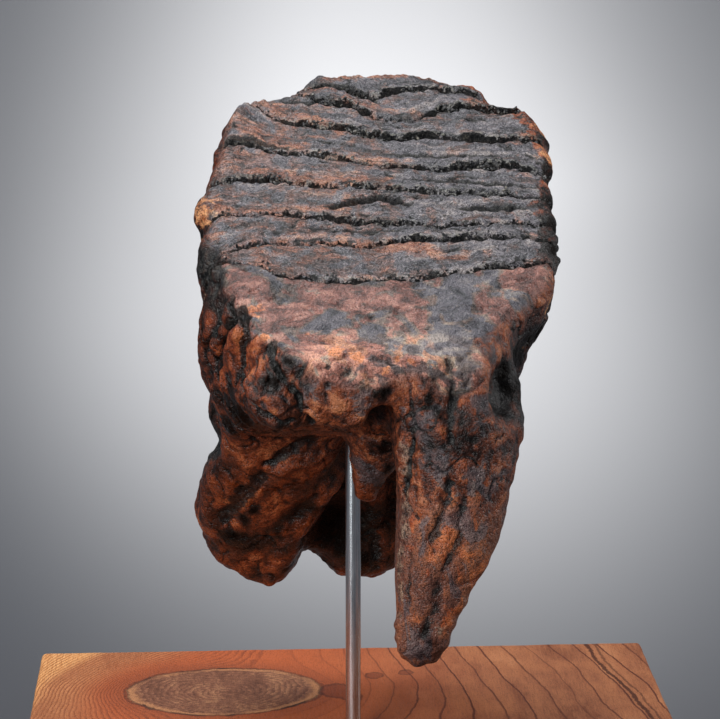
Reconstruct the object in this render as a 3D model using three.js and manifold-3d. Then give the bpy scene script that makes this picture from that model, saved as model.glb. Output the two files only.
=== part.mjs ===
// A worn mammoth molar on its museum stand: the tooth with its roots, a steel rod and a wooden block.
// Millimetres, +Z up. The origin is the middle of the block's underside. +X runs across the tooth and
// +Y runs along it, from the low worn front to the tall back.

import * as THREE from "three";
import { ImprovedNoise } from "three/addons/math/ImprovedNoise.js";
import { mergeVertices } from "three/addons/utils/BufferGeometryUtils.js";
import Module from "manifold-3d";

const wasm = await Module();
wasm.setup();

// ---- Driving sizes ----

const BLOCK = { width: 175, depth: 130, height: 40, corner: 1.5, easedEdge: 0.8 };
const ROD = { radius: 2, socketDepth: 25, top: 152, sides: 32 };
const CLEARANCE = 0.3; // round the rod, in the block's socket and in the tooth's drilled hole

// The rim of the grinding surface seen from above, as [y, left x, right x].
const RIM = [
  [-58, -12, 16],
  [-52, -20, 24],
  [-46, -26, 31],
  [-40, -30, 37],
  [-32, -33, 44],
  [-24, -36, 49.5],
  [-10, -38, 52],
  [8, -37.5, 53],
  [26, -35.5, 54.5],
  [40, -33, 53],
  [48, -28, 47],
  [53, -24, 40],
  [58, -14, 38],
  [62, -9, 30],
];
// The height of the grinding surface along the tooth, as [y, z]: it climbs from the front to the back.
const GRINDING = [
  [-58, 156],
  [-50, 160],
  [-31, 168.2],
  [-5, 180],
  [20, 190.5],
  [40, 199],
  [52, 205],
  [62, 208.5],
];
// The underside of the crown along the tooth, as [y, z]: a lip at the front, deep at the back.
const UNDERSIDE = [
  [-58, 141],
  [-50, 140],
  [-40, 136],
  [-30, 132],
  [-10, 124],
  [20, 118],
  [62, 119],
];

// The seams between plates, front to back. Each is the y of its seam at five places from the left
// side to the right side. The first is the front rim and the last is the back rim.
const SEAMS = [
  [-50, -53, -53, -57, -51],
  [-20, -28, -28, -25, -19],
  [-12, -14, -13, -11, -12],
  [-1, -3, -6, -6, -5],
  [13, 12, 8, 6, 4],
  [27, 24, 17, 17, 17],
  [40, 37, 31, 30, 29],
  [48, 47, 42, 44, 42],
  [54, 56, 54, 53, 50],
  [58, 62, 64, 62, 56],
];
const PLATEAU_ROWS = 15; // rows of facets on the smooth part before the first seam
// Each plate is worn like a shingle: [share of the way back over it, share of the full height]. It climbs
// steeply out of the seam in front of it and falls slowly towards the next seam. One row of facets each.
const PLATE_PROFILE = [
  [0, 0],
  [0.13, 1],
  [0.38, 0.82],
  [0.64, 0.7],
  [0.88, 0.62],
];
const PLATE_RELIEF = 3.4; // from the bottom of a seam to the top of the plate behind it
const EVEN_WEAR = 0.7; // the share of that height which lies on the grinding surface's own line
const UNEVEN = { share: 0.5, across: 14, along: 9 }; // the relief comes and goes over this size of patch
const SWELL = { height: 1.4, across: 24, along: 20 }; // gentle rises over the grinding surface
const RIM_ROUNDING = { drop: 2.2, sides: [0.8, 1] };
const LEFT_BACK_FALL = { drop: 3.2, sides: [0.1, 0.9], y: [38, 54] };

const ACROSS = 15; // facets across the tooth
const DOWN = 11; // facets from the rim to the underside
const CROWDING = 1.25; // above 1, facets on the sides are smaller near the rim
const CROWN_MIDDLE_Y = -3;

// How the crown swells or narrows below its rim, as [depth, share of the rim's distance from the middle].
const LEFT_SIDE = [
  [0, 1],
  [5, 1.01],
  [20, 0.98],
  [50, 0.98],
  [90, 0.93],
];
// The lip at the front swells more on the left than on the right, where the front root takes over.
const FRONT_SIDE = [
  [0, 1],
  [3, 1.05],
  [9, 1.1],
  [16, 1.06],
  [24, 0.97],
];
const LIP_END = [-0.02, 0.2]; // places across the tooth, from -0.5 to 0.5, where the swelling dies away
const BACK_SIDE = [
  [0, 1],
  [6, 1.03],
  [35, 0.99],
  [60, 0.93],
  [90, 0.8],
];
// The right side hangs over a ledge, whose height along the tooth is [y, z], and is cut back below it.
const RIGHT_LEDGE = [
  [-60, 158],
  [-30, 157],
  [10, 148],
  [62, 136],
];
const RIGHT_OVERHANG = { lost: 0.09, depths: [0, 14] }; // share of the width lost down to the ledge
// Share of the width lost below the ledge, as [depth below it, share].
const RIGHT_UNDERCUT = [
  [-2, 0],
  [7, 0.1],
  [16, 0.13],
  [32, 0.21],
];
const UNDERSIDE_TUCK = { lost: 0.1, down: [0.7, 1] }; // share of the width lost as the sides turn under
const UNDERSIDE_LUMP = 2.5;
const PLATE_LEAN = 0.16; // how far the plates lean back for each millimetre down the sides
const LEAN_FRONT = [-55, -20]; // the rim's y over which the lean comes in, and below it goes again
const LEAN_BACK = [20, 60];
const THINNEST = 4; // the least height of the crown

// Plates stand out as ribs down the sides, from the first seam back, and fade towards the roots.
const SIDE_RIB = { height: 1.8, startY: [-24, -8], fadeDepths: [45, 75] };
const LUMP = { height: 1.6, size: 15 }; // low lumps all over the sides
const BACK_FLUTE = { height: 3, width: 5, length: 60 }; // upright waves on the back of the last plate
const BELOW_RIM = [0, 6]; // depths over which lumps and folds come in below the rim

// Folds down the front and the left of the front, each between two places as seen from the front,
// given as [x, z]. A negative height is a furrow and a positive one is a roll.
const FOLDS = [
  { from: [-28.5, 165], to: [-28.5, 150], halfWidth: 2.4, height: -5 },
  { from: [-33, 160], to: [-35.5, 149], halfWidth: 2.2, height: -4 },
  { from: [-26, 156], to: [-27, 148], halfWidth: 2.6, height: 2 },
  { from: [-27, 146], to: [-18, 141.5], halfWidth: 2.6, height: 2.4 },
  { from: [-21.5, 158], to: [-12, 138], halfWidth: 2.7, height: -2.6 },
];
const FOLDS_END = [-30, -20]; // the rim's y over which the folds fade out

// Each root is a bent cone: points down its middle, and its half width along X and along Y at each.
const ROOTS = {
  frontRoot: {
    middle: [
      [23, -38, 156],
      [23, -41.5, 142],
      [21.5, -46.5, 127],
      [20, -50, 114],
      [17.3, -53, 103],
      [15, -55, 92],
      [13.3, -55.5, 84],
      [12.6, -56, 80.5],
    ],
    halfWidths: [
      [13, 17],
      [15.6, 18],
      [14, 14],
      [12.3, 11],
      [9.8, 8.5],
      [7.6, 6.5],
      [5.6, 5],
      [2.6, 2.6],
    ],
    squareness: 2.7,
  },
  frontRootShoulder: {
    middle: [
      [29, -12, 158],
      [28, -24, 148],
      [26, -33, 138],
      [24, -39, 129],
      [22, -44, 119],
    ],
    halfWidths: [
      [8, 14],
      [11, 17],
      [12, 15],
      [10.5, 11],
      [7, 7],
    ],
    squareness: 2.4,
  },
  middleRoot: {
    middle: [
      [5, -26, 140],
      [4.2, -24, 128],
      [3.2, -22, 120],
      [2.6, -21, 114],
      [2.4, -20.5, 110.5],
    ],
    halfWidths: [
      [8, 8],
      [6.6, 7],
      [5.2, 6],
      [3.8, 4.5],
      [1.6, 2],
    ],
    squareness: 2,
  },
  leftBackRoot: {
    middle: [
      [-17, 16, 136],
      [-19, 20, 119],
      [-21, 25, 104],
      [-24.5, 29, 92],
      [-24.5, 33, 80],
      [-23.5, 36, 74],
      [-23, 37, 70.5],
    ],
    halfWidths: [
      [18, 24],
      [18.5, 25],
      [18.5, 19],
      [16, 13],
      [11.5, 9],
      [7.5, 6],
      [3, 3],
    ],
    squareness: 3,
  },
  middleBackRoot: {
    middle: [
      [6, 34, 134],
      [5, 38, 113],
      [3.5, 41, 92],
      [4, 43, 80],
      [5, 44, 73],
      [5.5, 44.5, 69],
    ],
    halfWidths: [
      [18, 20],
      [17, 16],
      [15, 11.5],
      [14.5, 9.5],
      [11, 7],
      [5.5, 4],
    ],
    squareness: 2.3,
  },
  rightBackRoot: {
    middle: [
      [25, 22, 136],
      [26.5, 27, 116],
      [29, 33, 98],
      [28.5, 38, 84],
      [28, 40, 77],
      [28, 41, 73],
    ],
    halfWidths: [
      [15.5, 25],
      [14, 20],
      [11.5, 13],
      [9, 8.5],
      [6.5, 6],
      [2.8, 2.8],
    ],
    squareness: 2.2,
  },
};
const ROOT_SIDES = 16;
const ROOT_ROWS = 13;
const ROOT_LUMP = { height: 1.3, size: 13, stretch: 1.7 }; // low lumps, longer down the roots

// Hollows in the front, each an egg shape: under the rim on the right, and beside the front root.
const HOLLOWS = [
  { centre: [37, -53, 148.5], halfSizes: [8, 13, 9.5] },
  { centre: [4, -50, 138], halfSizes: [4, 14, 11] },
];

// ---- Small helpers ----

const noise = new ImprovedNoise();
const { clamp, lerp, smoothstep } = THREE.MathUtils;
const ramp = (value, [start, end]) => smoothstep(value, start, end);

/** The values of a table of [position, value, ...] rows at a position, on a smooth curve through them. */
function along(table, position) {
  const last = table.length - 1;
  let i = 0;
  while (i < last - 1 && position > table[i + 1][0]) i++;
  const [before, from, to, after] = [i - 1, i, i + 1, i + 2].map((k) => table[clamp(k, 0, last)]);
  const span = to[0] - from[0];
  const t = clamp((position - from[0]) / span, 0, 1);
  return from.slice(1).map((value, k) => {
    const slopeAt = (a, b) => ((b[k + 1] - a[k + 1]) / (b[0] - a[0])) * span;
    const start = slopeAt(before, to);
    const end = slopeAt(from, after);
    return (
      value * (1 + t * t * (2 * t - 3)) +
      start * (t - 2 * t * t + t * t * t) +
      to[k + 1] * t * t * (3 - 2 * t) +
      end * (t * t * t - t * t)
    );
  });
}

/** A value from a list spread evenly from 0 to 1, on straight lines between its entries. */
function spread(list, share) {
  const place = clamp(share, 0, 1) * (list.length - 1);
  const i = Math.min(Math.floor(place), list.length - 2);
  return lerp(list[i], list[i + 1], place - i);
}

/** A closed three.js geometry as a solid that can be joined and cut. */
function solidOf(geometry) {
  const bare = geometry.clone();
  bare.deleteAttribute("normal");
  bare.deleteAttribute("uv");
  const welded = mergeVertices(bare, 1e-4);
  return new wasm.Manifold(
    new wasm.Mesh({
      numProp: 3,
      vertProperties: new Float32Array(welded.getAttribute("position").array),
      triVerts: new Uint32Array(welded.index.array),
    }),
  );
}

/** A solid as a named mesh. */
function meshOf(solid, name, material) {
  const { vertProperties, triVerts } = solid.getMesh();
  const geometry = new THREE.BufferGeometry();
  geometry.setAttribute("position", new THREE.BufferAttribute(vertProperties, 3));
  geometry.setIndex(new THREE.BufferAttribute(triVerts, 1));
  geometry.computeVertexNormals();
  const mesh = new THREE.Mesh(geometry, material);
  mesh.name = name;
  return mesh;
}

/** Moves each vertex of a geometry to where the function puts it. */
function moulded(geometry, place) {
  const position = geometry.getAttribute("position");
  for (let i = 0; i < position.count; i++) {
    position.setXYZ(i, ...place(position.getX(i), position.getY(i), position.getZ(i)));
  }
  return geometry;
}

/** An upright round bar. */
function bar(radius, bottom, top) {
  const geometry = new THREE.CylinderGeometry(radius, radius, top - bottom, ROD.sides);
  return geometry.rotateX(Math.PI / 2).translate(0, 0, (bottom + top) / 2);
}

// ---- The crown: a stack of enamel plates held in cement ----

const PLATES = SEAMS.length - 2;
const ROWS = PLATEAU_ROWS + PLATE_PROFILE.length * PLATES;
const LAST_HEIGHT = PLATE_PROFILE.at(-1)[1];

/** Which stretch between seams a row of facets is in, how far back over it, and how high it is worn. */
function rowPlace(row) {
  if (row < PLATEAU_ROWS) return { stretch: 0, share: row / PLATEAU_ROWS, height: LAST_HEIGHT };
  if (row === ROWS) return { stretch: PLATES, share: 1, height: LAST_HEIGHT };
  const plate = Math.floor((row - PLATEAU_ROWS) / PLATE_PROFILE.length);
  const [share, height] = PLATE_PROFILE[(row - PLATEAU_ROWS) % PLATE_PROFILE.length];
  return { stretch: plate + 1, share, height };
}

/** Where a corner of the grid lies on the grinding surface, seen from above. */
function rimPlace(across, row) {
  const place = rowPlace(row);
  const [front, back] = [SEAMS[place.stretch], SEAMS[place.stretch + 1]];
  const yAt = (station) => lerp(spread(front, station), spread(back, station), place.share);
  const [left, right] = [along(RIM, yAt(0))[0], along(RIM, yAt(1))[1]];
  const station = across + 0.5;
  return { ...place, x: lerp(left, right, station), y: yAt(station), middleX: (left + right) / 2 };
}

/** The height of the grinding surface: seams worn down between the plates, and a rounded rim. */
function grindingHeight({ x, y, height }, side) {
  const seamStrength = 1 + UNEVEN.share * noise.noise(x / UNEVEN.across, y / UNEVEN.along, 4);
  const relief = PLATE_RELIEF * (height - EVEN_WEAR) * seamStrength;
  const swell = SWELL.height * noise.noise(x / SWELL.across, y / SWELL.along, 9);
  const rounding = RIM_ROUNDING.drop * ramp(Math.abs(side), RIM_ROUNDING.sides);
  const fall = LEFT_BACK_FALL.drop * ramp(-side, LEFT_BACK_FALL.sides) * ramp(y, LEFT_BACK_FALL.y);
  return along(GRINDING, y)[0] + relief + swell - rounding - fall;
}

/** How wide the crown is at a depth below its rim, as a share of the rim's width. */
function widthBelow(rim, side, down, depth, z) {
  const tuck = UNDERSIDE_TUCK.lost * ramp(down, UNDERSIDE_TUCK.down);
  if (side < 0) return along(LEFT_SIDE, depth)[0] - tuck;
  const overhang = RIGHT_OVERHANG.lost * ramp(depth, RIGHT_OVERHANG.depths);
  const undercut = along(RIGHT_UNDERCUT, along(RIGHT_LEDGE, rim.y)[0] - z)[0];
  return 1 - overhang - undercut - tuck;
}

/** How far the crown reaches to the front or back at a depth below its rim, as a share of the rim's. */
function lengthBelow(rim, across, depth) {
  if (rim.y >= CROWN_MIDDLE_Y) return along(BACK_SIDE, depth)[0];
  return lerp(along(FRONT_SIDE, depth)[0], 1, ramp(across, LIP_END));
}

/** How far a place on the front stands out, from the folds there. */
function foldHeight(x, z) {
  return FOLDS.reduce((sum, { from, to, halfWidth, height }) => {
    const [dx, dz] = [to[0] - from[0], to[1] - from[1]];
    const share = clamp(((x - from[0]) * dx + (z - from[1]) * dz) / (dx * dx + dz * dz), 0, 1);
    const away = Math.hypot(x - from[0] - share * dx, z - from[1] - share * dz) / halfWidth;
    return sum + height * Math.exp(-away * away);
  }, 0);
}

/** Ribs, lumps, folds and flutes push a place on the sides, the front or the back in or out. */
function pushOut(rim, side, depth, [x, y, z]) {
  const atFront = rim.stretch === 0 ? 1 - ramp(rim.share, [0, 0.12]) : 0;
  const atBack = rim.stretch === PLATES && rim.share === 1 ? 1 : 0;
  const wall = Math.max(ramp(Math.abs(side), [0.75, 1]), atFront, atBack);
  const ribShow = ramp(rim.y, SIDE_RIB.startY) * (1 - ramp(depth, SIDE_RIB.fadeDepths));
  const rib = SIDE_RIB.height * (rim.height - 1) * ribShow;
  const lump = LUMP.height * noise.noise(x / LUMP.size, y / LUMP.size, z / LUMP.size);
  const flute = atBack * BACK_FLUTE.height * noise.noise(x / BACK_FLUTE.width, z / BACK_FLUTE.length, 2);
  const fold = foldHeight(x, z) * (1 - ramp(rim.y, FOLDS_END));
  const out = wall * (rib + (lump + flute + fold) * ramp(depth, BELOW_RIM));
  const facing = rim.y < CROWN_MIDDLE_Y ? 1.2 : 3 * atBack;
  const outward = new THREE.Vector2(x - rim.middleX, facing * (y - CROWN_MIDDLE_Y)).normalize();
  return [x + outward.x * out, y + outward.y * out];
}

/** Where a corner of the crown's grid goes: all three run from -0.5 to 0.5 over the box it starts as. */
function crownPoint(across, backward, up) {
  const side = 2 * across;
  const down = 0.5 - up;
  const rim = rimPlace(across, Math.round((backward + 0.5) * ROWS));
  const topZ = grindingHeight(rim, side);
  const bottomZ = Math.min(along(UNDERSIDE, rim.y)[0], topZ - THINNEST);
  const depth = (topZ - bottomZ) * Math.pow(down, CROWDING);
  const z = topZ - depth;
  const width = widthBelow(rim, side, down, depth, z);
  const lean = PLATE_LEAN * depth * ramp(rim.y, LEAN_FRONT) * (1 - ramp(rim.y, LEAN_BACK));
  const x = rim.middleX + (rim.x - rim.middleX) * lerp(1, width, Math.abs(side));
  const y = CROWN_MIDDLE_Y + (rim.y - CROWN_MIDDLE_Y) * lengthBelow(rim, across, depth) + lean;
  const under = up === -0.5 ? UNDERSIDE_LUMP * noise.noise(x / LUMP.size, y / LUMP.size, 3) : 0;
  const [outX, outY] = pushOut(rim, side, depth, [x, y, z]);
  return [outX, outY, z + under];
}

function crown() {
  return solidOf(moulded(new THREE.BoxGeometry(1, 1, 1, ACROSS, ROWS, DOWN), crownPoint));
}

// ---- The roots ----

/** A bent cone with a rounded, slightly square section. */
function root({ middle, halfWidths, squareness }) {
  const line = new THREE.CatmullRomCurve3(middle.map((point) => new THREE.Vector3(...point)));
  const sizes = halfWidths.map((pair, i) => [i / (halfWidths.length - 1), ...pair]);
  const geometry = new THREE.CylinderGeometry(1, 1, 1, ROOT_SIDES, ROOT_ROWS);
  return solidOf(
    moulded(geometry, (x, height, z) => {
      const share = 0.5 - height;
      const centre = line.getPoint(share);
      const [wide, deep] = along(sizes, share);
      const radius = Math.hypot(x, z);
      const angle = Math.atan2(-z, x);
      const [c, s] = [Math.cos(angle), Math.sin(angle)];
      const roundness = (Math.abs(c) ** squareness + Math.abs(s) ** squareness) ** (1 / squareness);
      const reach = radius / roundness;
      const at = centre.clone().add(new THREE.Vector3(c * wide * reach, s * deep * reach, 0));
      const { height: lumpHeight, size, stretch } = ROOT_LUMP;
      const lump = radius * lumpHeight * noise.noise(at.x / size, at.y / size, at.z / (size * stretch));
      return [at.x + c * lump, at.y + s * lump, at.z];
    }),
  );
}

/** An egg shape to hollow the tooth with. */
function hollow({ centre, halfSizes }) {
  return solidOf(new THREE.SphereGeometry(1, 12, 9).scale(...halfSizes).translate(...centre));
}

function tooth() {
  const whole = Object.values(ROOTS).reduce((body, sizes) => body.add(root(sizes)), crown());
  const hollowed = HOLLOWS.reduce((body, sizes) => body.subtract(hollow(sizes)), whole);
  return hollowed.subtract(solidOf(bar(ROD.radius + CLEARANCE, BLOCK.height, ROD.top + CLEARANCE)));
}

// ---- The stand ----

function block() {
  const { width, depth, height, corner, easedEdge } = BLOCK;
  const [w, d] = [width / 2 - easedEdge, depth / 2 - easedEdge];
  const outline = new THREE.Shape();
  outline.moveTo(-w + corner, -d);
  outline.lineTo(w - corner, -d);
  outline.absarc(w - corner, -d + corner, corner, -Math.PI / 2, 0);
  outline.absarc(w - corner, d - corner, corner, 0, Math.PI / 2);
  outline.absarc(-w + corner, d - corner, corner, Math.PI / 2, Math.PI);
  outline.absarc(-w + corner, -d + corner, corner, Math.PI, 1.5 * Math.PI);
  const slab = new THREE.ExtrudeGeometry(outline, {
    depth: height - 2 * easedEdge,
    curveSegments: 4,
    bevelThickness: easedEdge,
    bevelSize: easedEdge,
    bevelSegments: 2,
  }).translate(0, 0, easedEdge);
  const socket = bar(ROD.radius + CLEARANCE, height - ROD.socketDepth, height + 1);
  return solidOf(slab).subtract(solidOf(socket));
}

function rod() {
  return solidOf(bar(ROD.radius, BLOCK.height - ROD.socketDepth + CLEARANCE, ROD.top));
}

// ---- Materials and assembly ----

const fossil = new THREE.MeshStandardMaterial({ color: "#6b4a3e", roughness: 0.55, metalness: 0 });
const steel = new THREE.MeshStandardMaterial({ color: "#8f8d8c", roughness: 0.35, metalness: 1 });
const timber = new THREE.MeshStandardMaterial({ color: "#9a6448", roughness: 0.6, metalness: 0 });

const mountedTooth = new THREE.Group();
mountedTooth.add(
  meshOf(tooth(), "tooth", fossil),
  meshOf(rod(), "rod", steel),
  meshOf(block(), "block", timber),
);

export default mountedTooth;
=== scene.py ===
"""A worn mammoth molar on its museum stand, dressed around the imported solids. Metres, +Z up."""

import math
from types import SimpleNamespace

import bmesh
import bpy
import numpy as np
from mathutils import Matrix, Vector


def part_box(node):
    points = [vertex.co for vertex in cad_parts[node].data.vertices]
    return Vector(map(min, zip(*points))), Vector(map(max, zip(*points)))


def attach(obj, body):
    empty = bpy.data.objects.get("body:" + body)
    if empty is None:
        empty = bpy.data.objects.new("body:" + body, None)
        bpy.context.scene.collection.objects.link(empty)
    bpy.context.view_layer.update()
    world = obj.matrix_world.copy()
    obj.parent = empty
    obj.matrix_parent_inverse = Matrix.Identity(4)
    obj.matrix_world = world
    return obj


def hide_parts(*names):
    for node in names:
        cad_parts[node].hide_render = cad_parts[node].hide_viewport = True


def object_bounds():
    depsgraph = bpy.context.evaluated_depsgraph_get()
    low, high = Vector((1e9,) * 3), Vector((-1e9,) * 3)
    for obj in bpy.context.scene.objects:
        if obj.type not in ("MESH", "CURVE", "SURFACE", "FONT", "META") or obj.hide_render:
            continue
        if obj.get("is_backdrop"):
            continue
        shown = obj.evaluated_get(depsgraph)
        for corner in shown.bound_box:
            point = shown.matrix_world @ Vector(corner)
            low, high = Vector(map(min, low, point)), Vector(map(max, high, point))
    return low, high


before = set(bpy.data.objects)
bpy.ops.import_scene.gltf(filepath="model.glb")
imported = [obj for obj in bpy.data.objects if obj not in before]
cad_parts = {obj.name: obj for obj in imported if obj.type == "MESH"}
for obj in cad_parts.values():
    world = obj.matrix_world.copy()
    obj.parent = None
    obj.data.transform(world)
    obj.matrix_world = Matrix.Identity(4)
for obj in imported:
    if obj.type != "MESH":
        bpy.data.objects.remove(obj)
solid_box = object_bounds()

# ---- Camera ----
# A long lens on a tripod a little above the tooth and left of its middle, tilted slightly down. Colours are
# shown just as they are lit, with no film look over them.

lens = bpy.data.cameras.new("camera")
lens.sensor_width = 36
lens.lens = 127.5
camera = bpy.data.objects.new("camera", lens)
camera.location = (-0.0304, -0.6356, 0.306)
camera.rotation_euler = (math.radians(75.66), 0, math.radians(-2.9))
bpy.context.scene.collection.objects.link(camera)
bpy.context.scene.camera = camera
bpy.context.scene.view_settings.view_transform = "Standard"

# ---- Tooth ----
# A mammoth's molar turned to stone. Upright plates of enamel and dentine, bound with softer cement, are
# worn down to a sloping surface, and thick roots hang below. It grew as one piece, so it is one mesh.
# It was drilled from below and glued on the rod.

MM = 0.001
VOXEL = 2.3 * MM  # the grid that the rough solid is rebuilt on
SMOOTHING = 5  # rounds of smoothing after that
HALVINGS = 2  # times that each face is then split into four
MOST_TRIANGLES = 190_000

# The rim of the grinding surface seen from above, in mm: y, left x, right x.
RIM = np.array([
    (-58, -12, 16), (-52, -20, 24), (-46, -26, 31), (-40, -30, 37), (-32, -33, 44), (-24, -36, 49.5),
    (-10, -38, 52), (8, -37.5, 53), (26, -35.5, 54.5), (40, -33, 53), (48, -28, 47), (53, -24, 40),
    (58, -14, 38), (62, -9, 30),
])
# The height of the grinding surface along the tooth, in mm: y, z.
GRINDING = np.array([
    (-58, 156), (-50, 160), (-31, 168.2), (-5, 180), (20, 190.5), (40, 199), (52, 205), (62, 208.5),
])
# The cracks between the plates, front to back, in mm: x, y, openness. A wide open one is about 1.
SEAMS = [
    [(-37, -17, 0.2), (-24, -20, 0.3), (-19, -25.5, 0.5), (-11, -27, 0.5), (2, -27, 0.55),
     (12, -26, 0.6), (18, -26, 0.3), (27, -24, 0.45), (34, -22.5, 0.6), (49, -19, 0.3)],
    [(-34, -15, 0.2), (-25, -12.5, 0.3), (-16, -13, 0.3), (-6, -13, 0.35), (0, -14, 0.35),
     (10, -12.5, 0.8), (22, -11.5, 0.8), (35, -11, 0.75), (50, -12, 0.3)],
    [(-34, -1, 0.25), (-16, -1.5, 0.5), (-4, -4, 0.8), (9, -5, 0.75), (22, -6, 0.35), (36, -5.5, 0.45),
     (52, -5, 0.3)],
    [(-37, 15, 0.6), (-33, 14.5, 0.8), (-15, 12.5, 0.8), (-9, 11.5, 0.7), (-1, 10.5, 0.7),
     (14, 8.5, 0.8), (21, 7.5, 0.6), (27, 7, 0.5), (40, 6, 0.5), (53, 5, 0.4)],
    [(-35, 33, 1.5), (-28, 30, 1.3), (-20, 26, 0.7), (-12, 24.5, 0.7), (-4, 22, 0.85), (5, 19, 0.85),
     (15, 18.5, 0.5), (20, 19, 0.5), (27, 18, 1), (36, 17.5, 1.1), (42, 18, 0.9), (54, 17, 0.4)],
    [(-31, 51, 0.3), (-26, 48.5, 0.4), (-19, 40.5, 0.5), (-9, 37.5, 0.8), (-1, 35, 1.1), (5, 33, 1.1),
     (13, 31.5, 1.2), (19, 32, 1.4), (32, 31, 1.4), (46, 30.5, 1.2), (54, 29, 0.5)],
    [(-16, 55, 0.4), (-7.5, 48, 0.7), (-1, 46.5, 1), (5, 44.5, 1), (9, 40.5, 0.5), (15, 39.5, 0.6),
     (26, 44, 1.1), (33, 44, 1.2), (49, 43, 1), (54, 42, 0.4)],
    [(-12, 56.5, 0.4), (-3, 56, 0.8), (6, 49, 0.8), (10.5, 51.5, 0.9), (24, 54, 1.1), (38, 51.5, 1),
     (47, 50, 0.3)],
]
SEAM_WANDER = ((9, 0.7), (3.2, 0.55), (1.5, 0.35))  # the size and the reach of a crack's bends, in mm
SEAM_LEAN = 0.16  # the plates lean back by this much of the depth below the rim
NO_SEAM = {"behind": 40.0, "ahead": 12.0, "last": 8}  # the gaps in mm where no crack follows
PLATE_STEP = 0.9  # the height in mm of the ledge behind an open crack
PLATE_SHIFT = 13.7  # sets the grain of each plate apart from the next one's
CRACK_DEPTH = 1.6
SPLIT_DEPTH = 1.3
TOOTH_FRONT, TOOTH_BACK = -58.5, 64  # where the grinding surface ends, in mm
CROWN_FADE = (112, 130)  # the heights in mm between which the roots turn into the crown
ROD_CLEAR = {"radius": 4.5, "top": 130}  # nothing is carved this near to the rod, in mm
EVENING = 0.65  # how far one round of evening out takes a vertex towards its neighbours
EVEN_ROUNDS = {"fine": 6, "wide": 60}  # the rounds that show the narrow and the wide hollows
HOLLOW_DEPTH = {"fine": 0.8, "wide": 2.4}  # mm

# Splits inside a plate, in mm on the grinding surface: x, y, openness.
SPLITS = [
    [(-7, 1, 0.3), (-4, 2, 1.2), (1.5, 5, 1.5), (8, 6, 1.5), (12, 4.5, 1.3), (16, 2, 0.4)],
    [(26, 0.5, 0.2), (30, 0.5, 0.8), (36, 1, 1), (42, 1, 0.7), (46, 1, 0.1)],
    [(-22, 50, 0.2), (-13, 48.5, 0.8), (-5, 47.5, 0.9), (0, 47, 0.7), (5, 44.5, 0.9), (8, 40.5, 0.8),
     (10, 38, 0.1)],
    [(-10, 58, 0.3), (-2, 56, 0.8), (3, 53, 1), (7, 49, 0.8), (12, 46, 0.1)],
    [(-34, 30.5, 0.6), (-28, 32.5, 1.1), (-24, 29.5, 1), (-18, 27, 0.6), (-12, 26, 0.1)],
    [(10, 13.5, 0.1), (16, 13, 0.6), (30, 11.5, 0.7), (44, 10.5, 0.5), (52, 9, 0.1)],
    [(-20, -5.5, 0.1), (-10, -6.5, 0.5), (4, -8.5, 0.5), (14, -8, 0.1)],
    [(4, 24, 0.1), (14, 24.5, 0.6), (24, 23, 0.7), (40, 22.5, 0.5), (50, 22, 0.1)],
]

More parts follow.
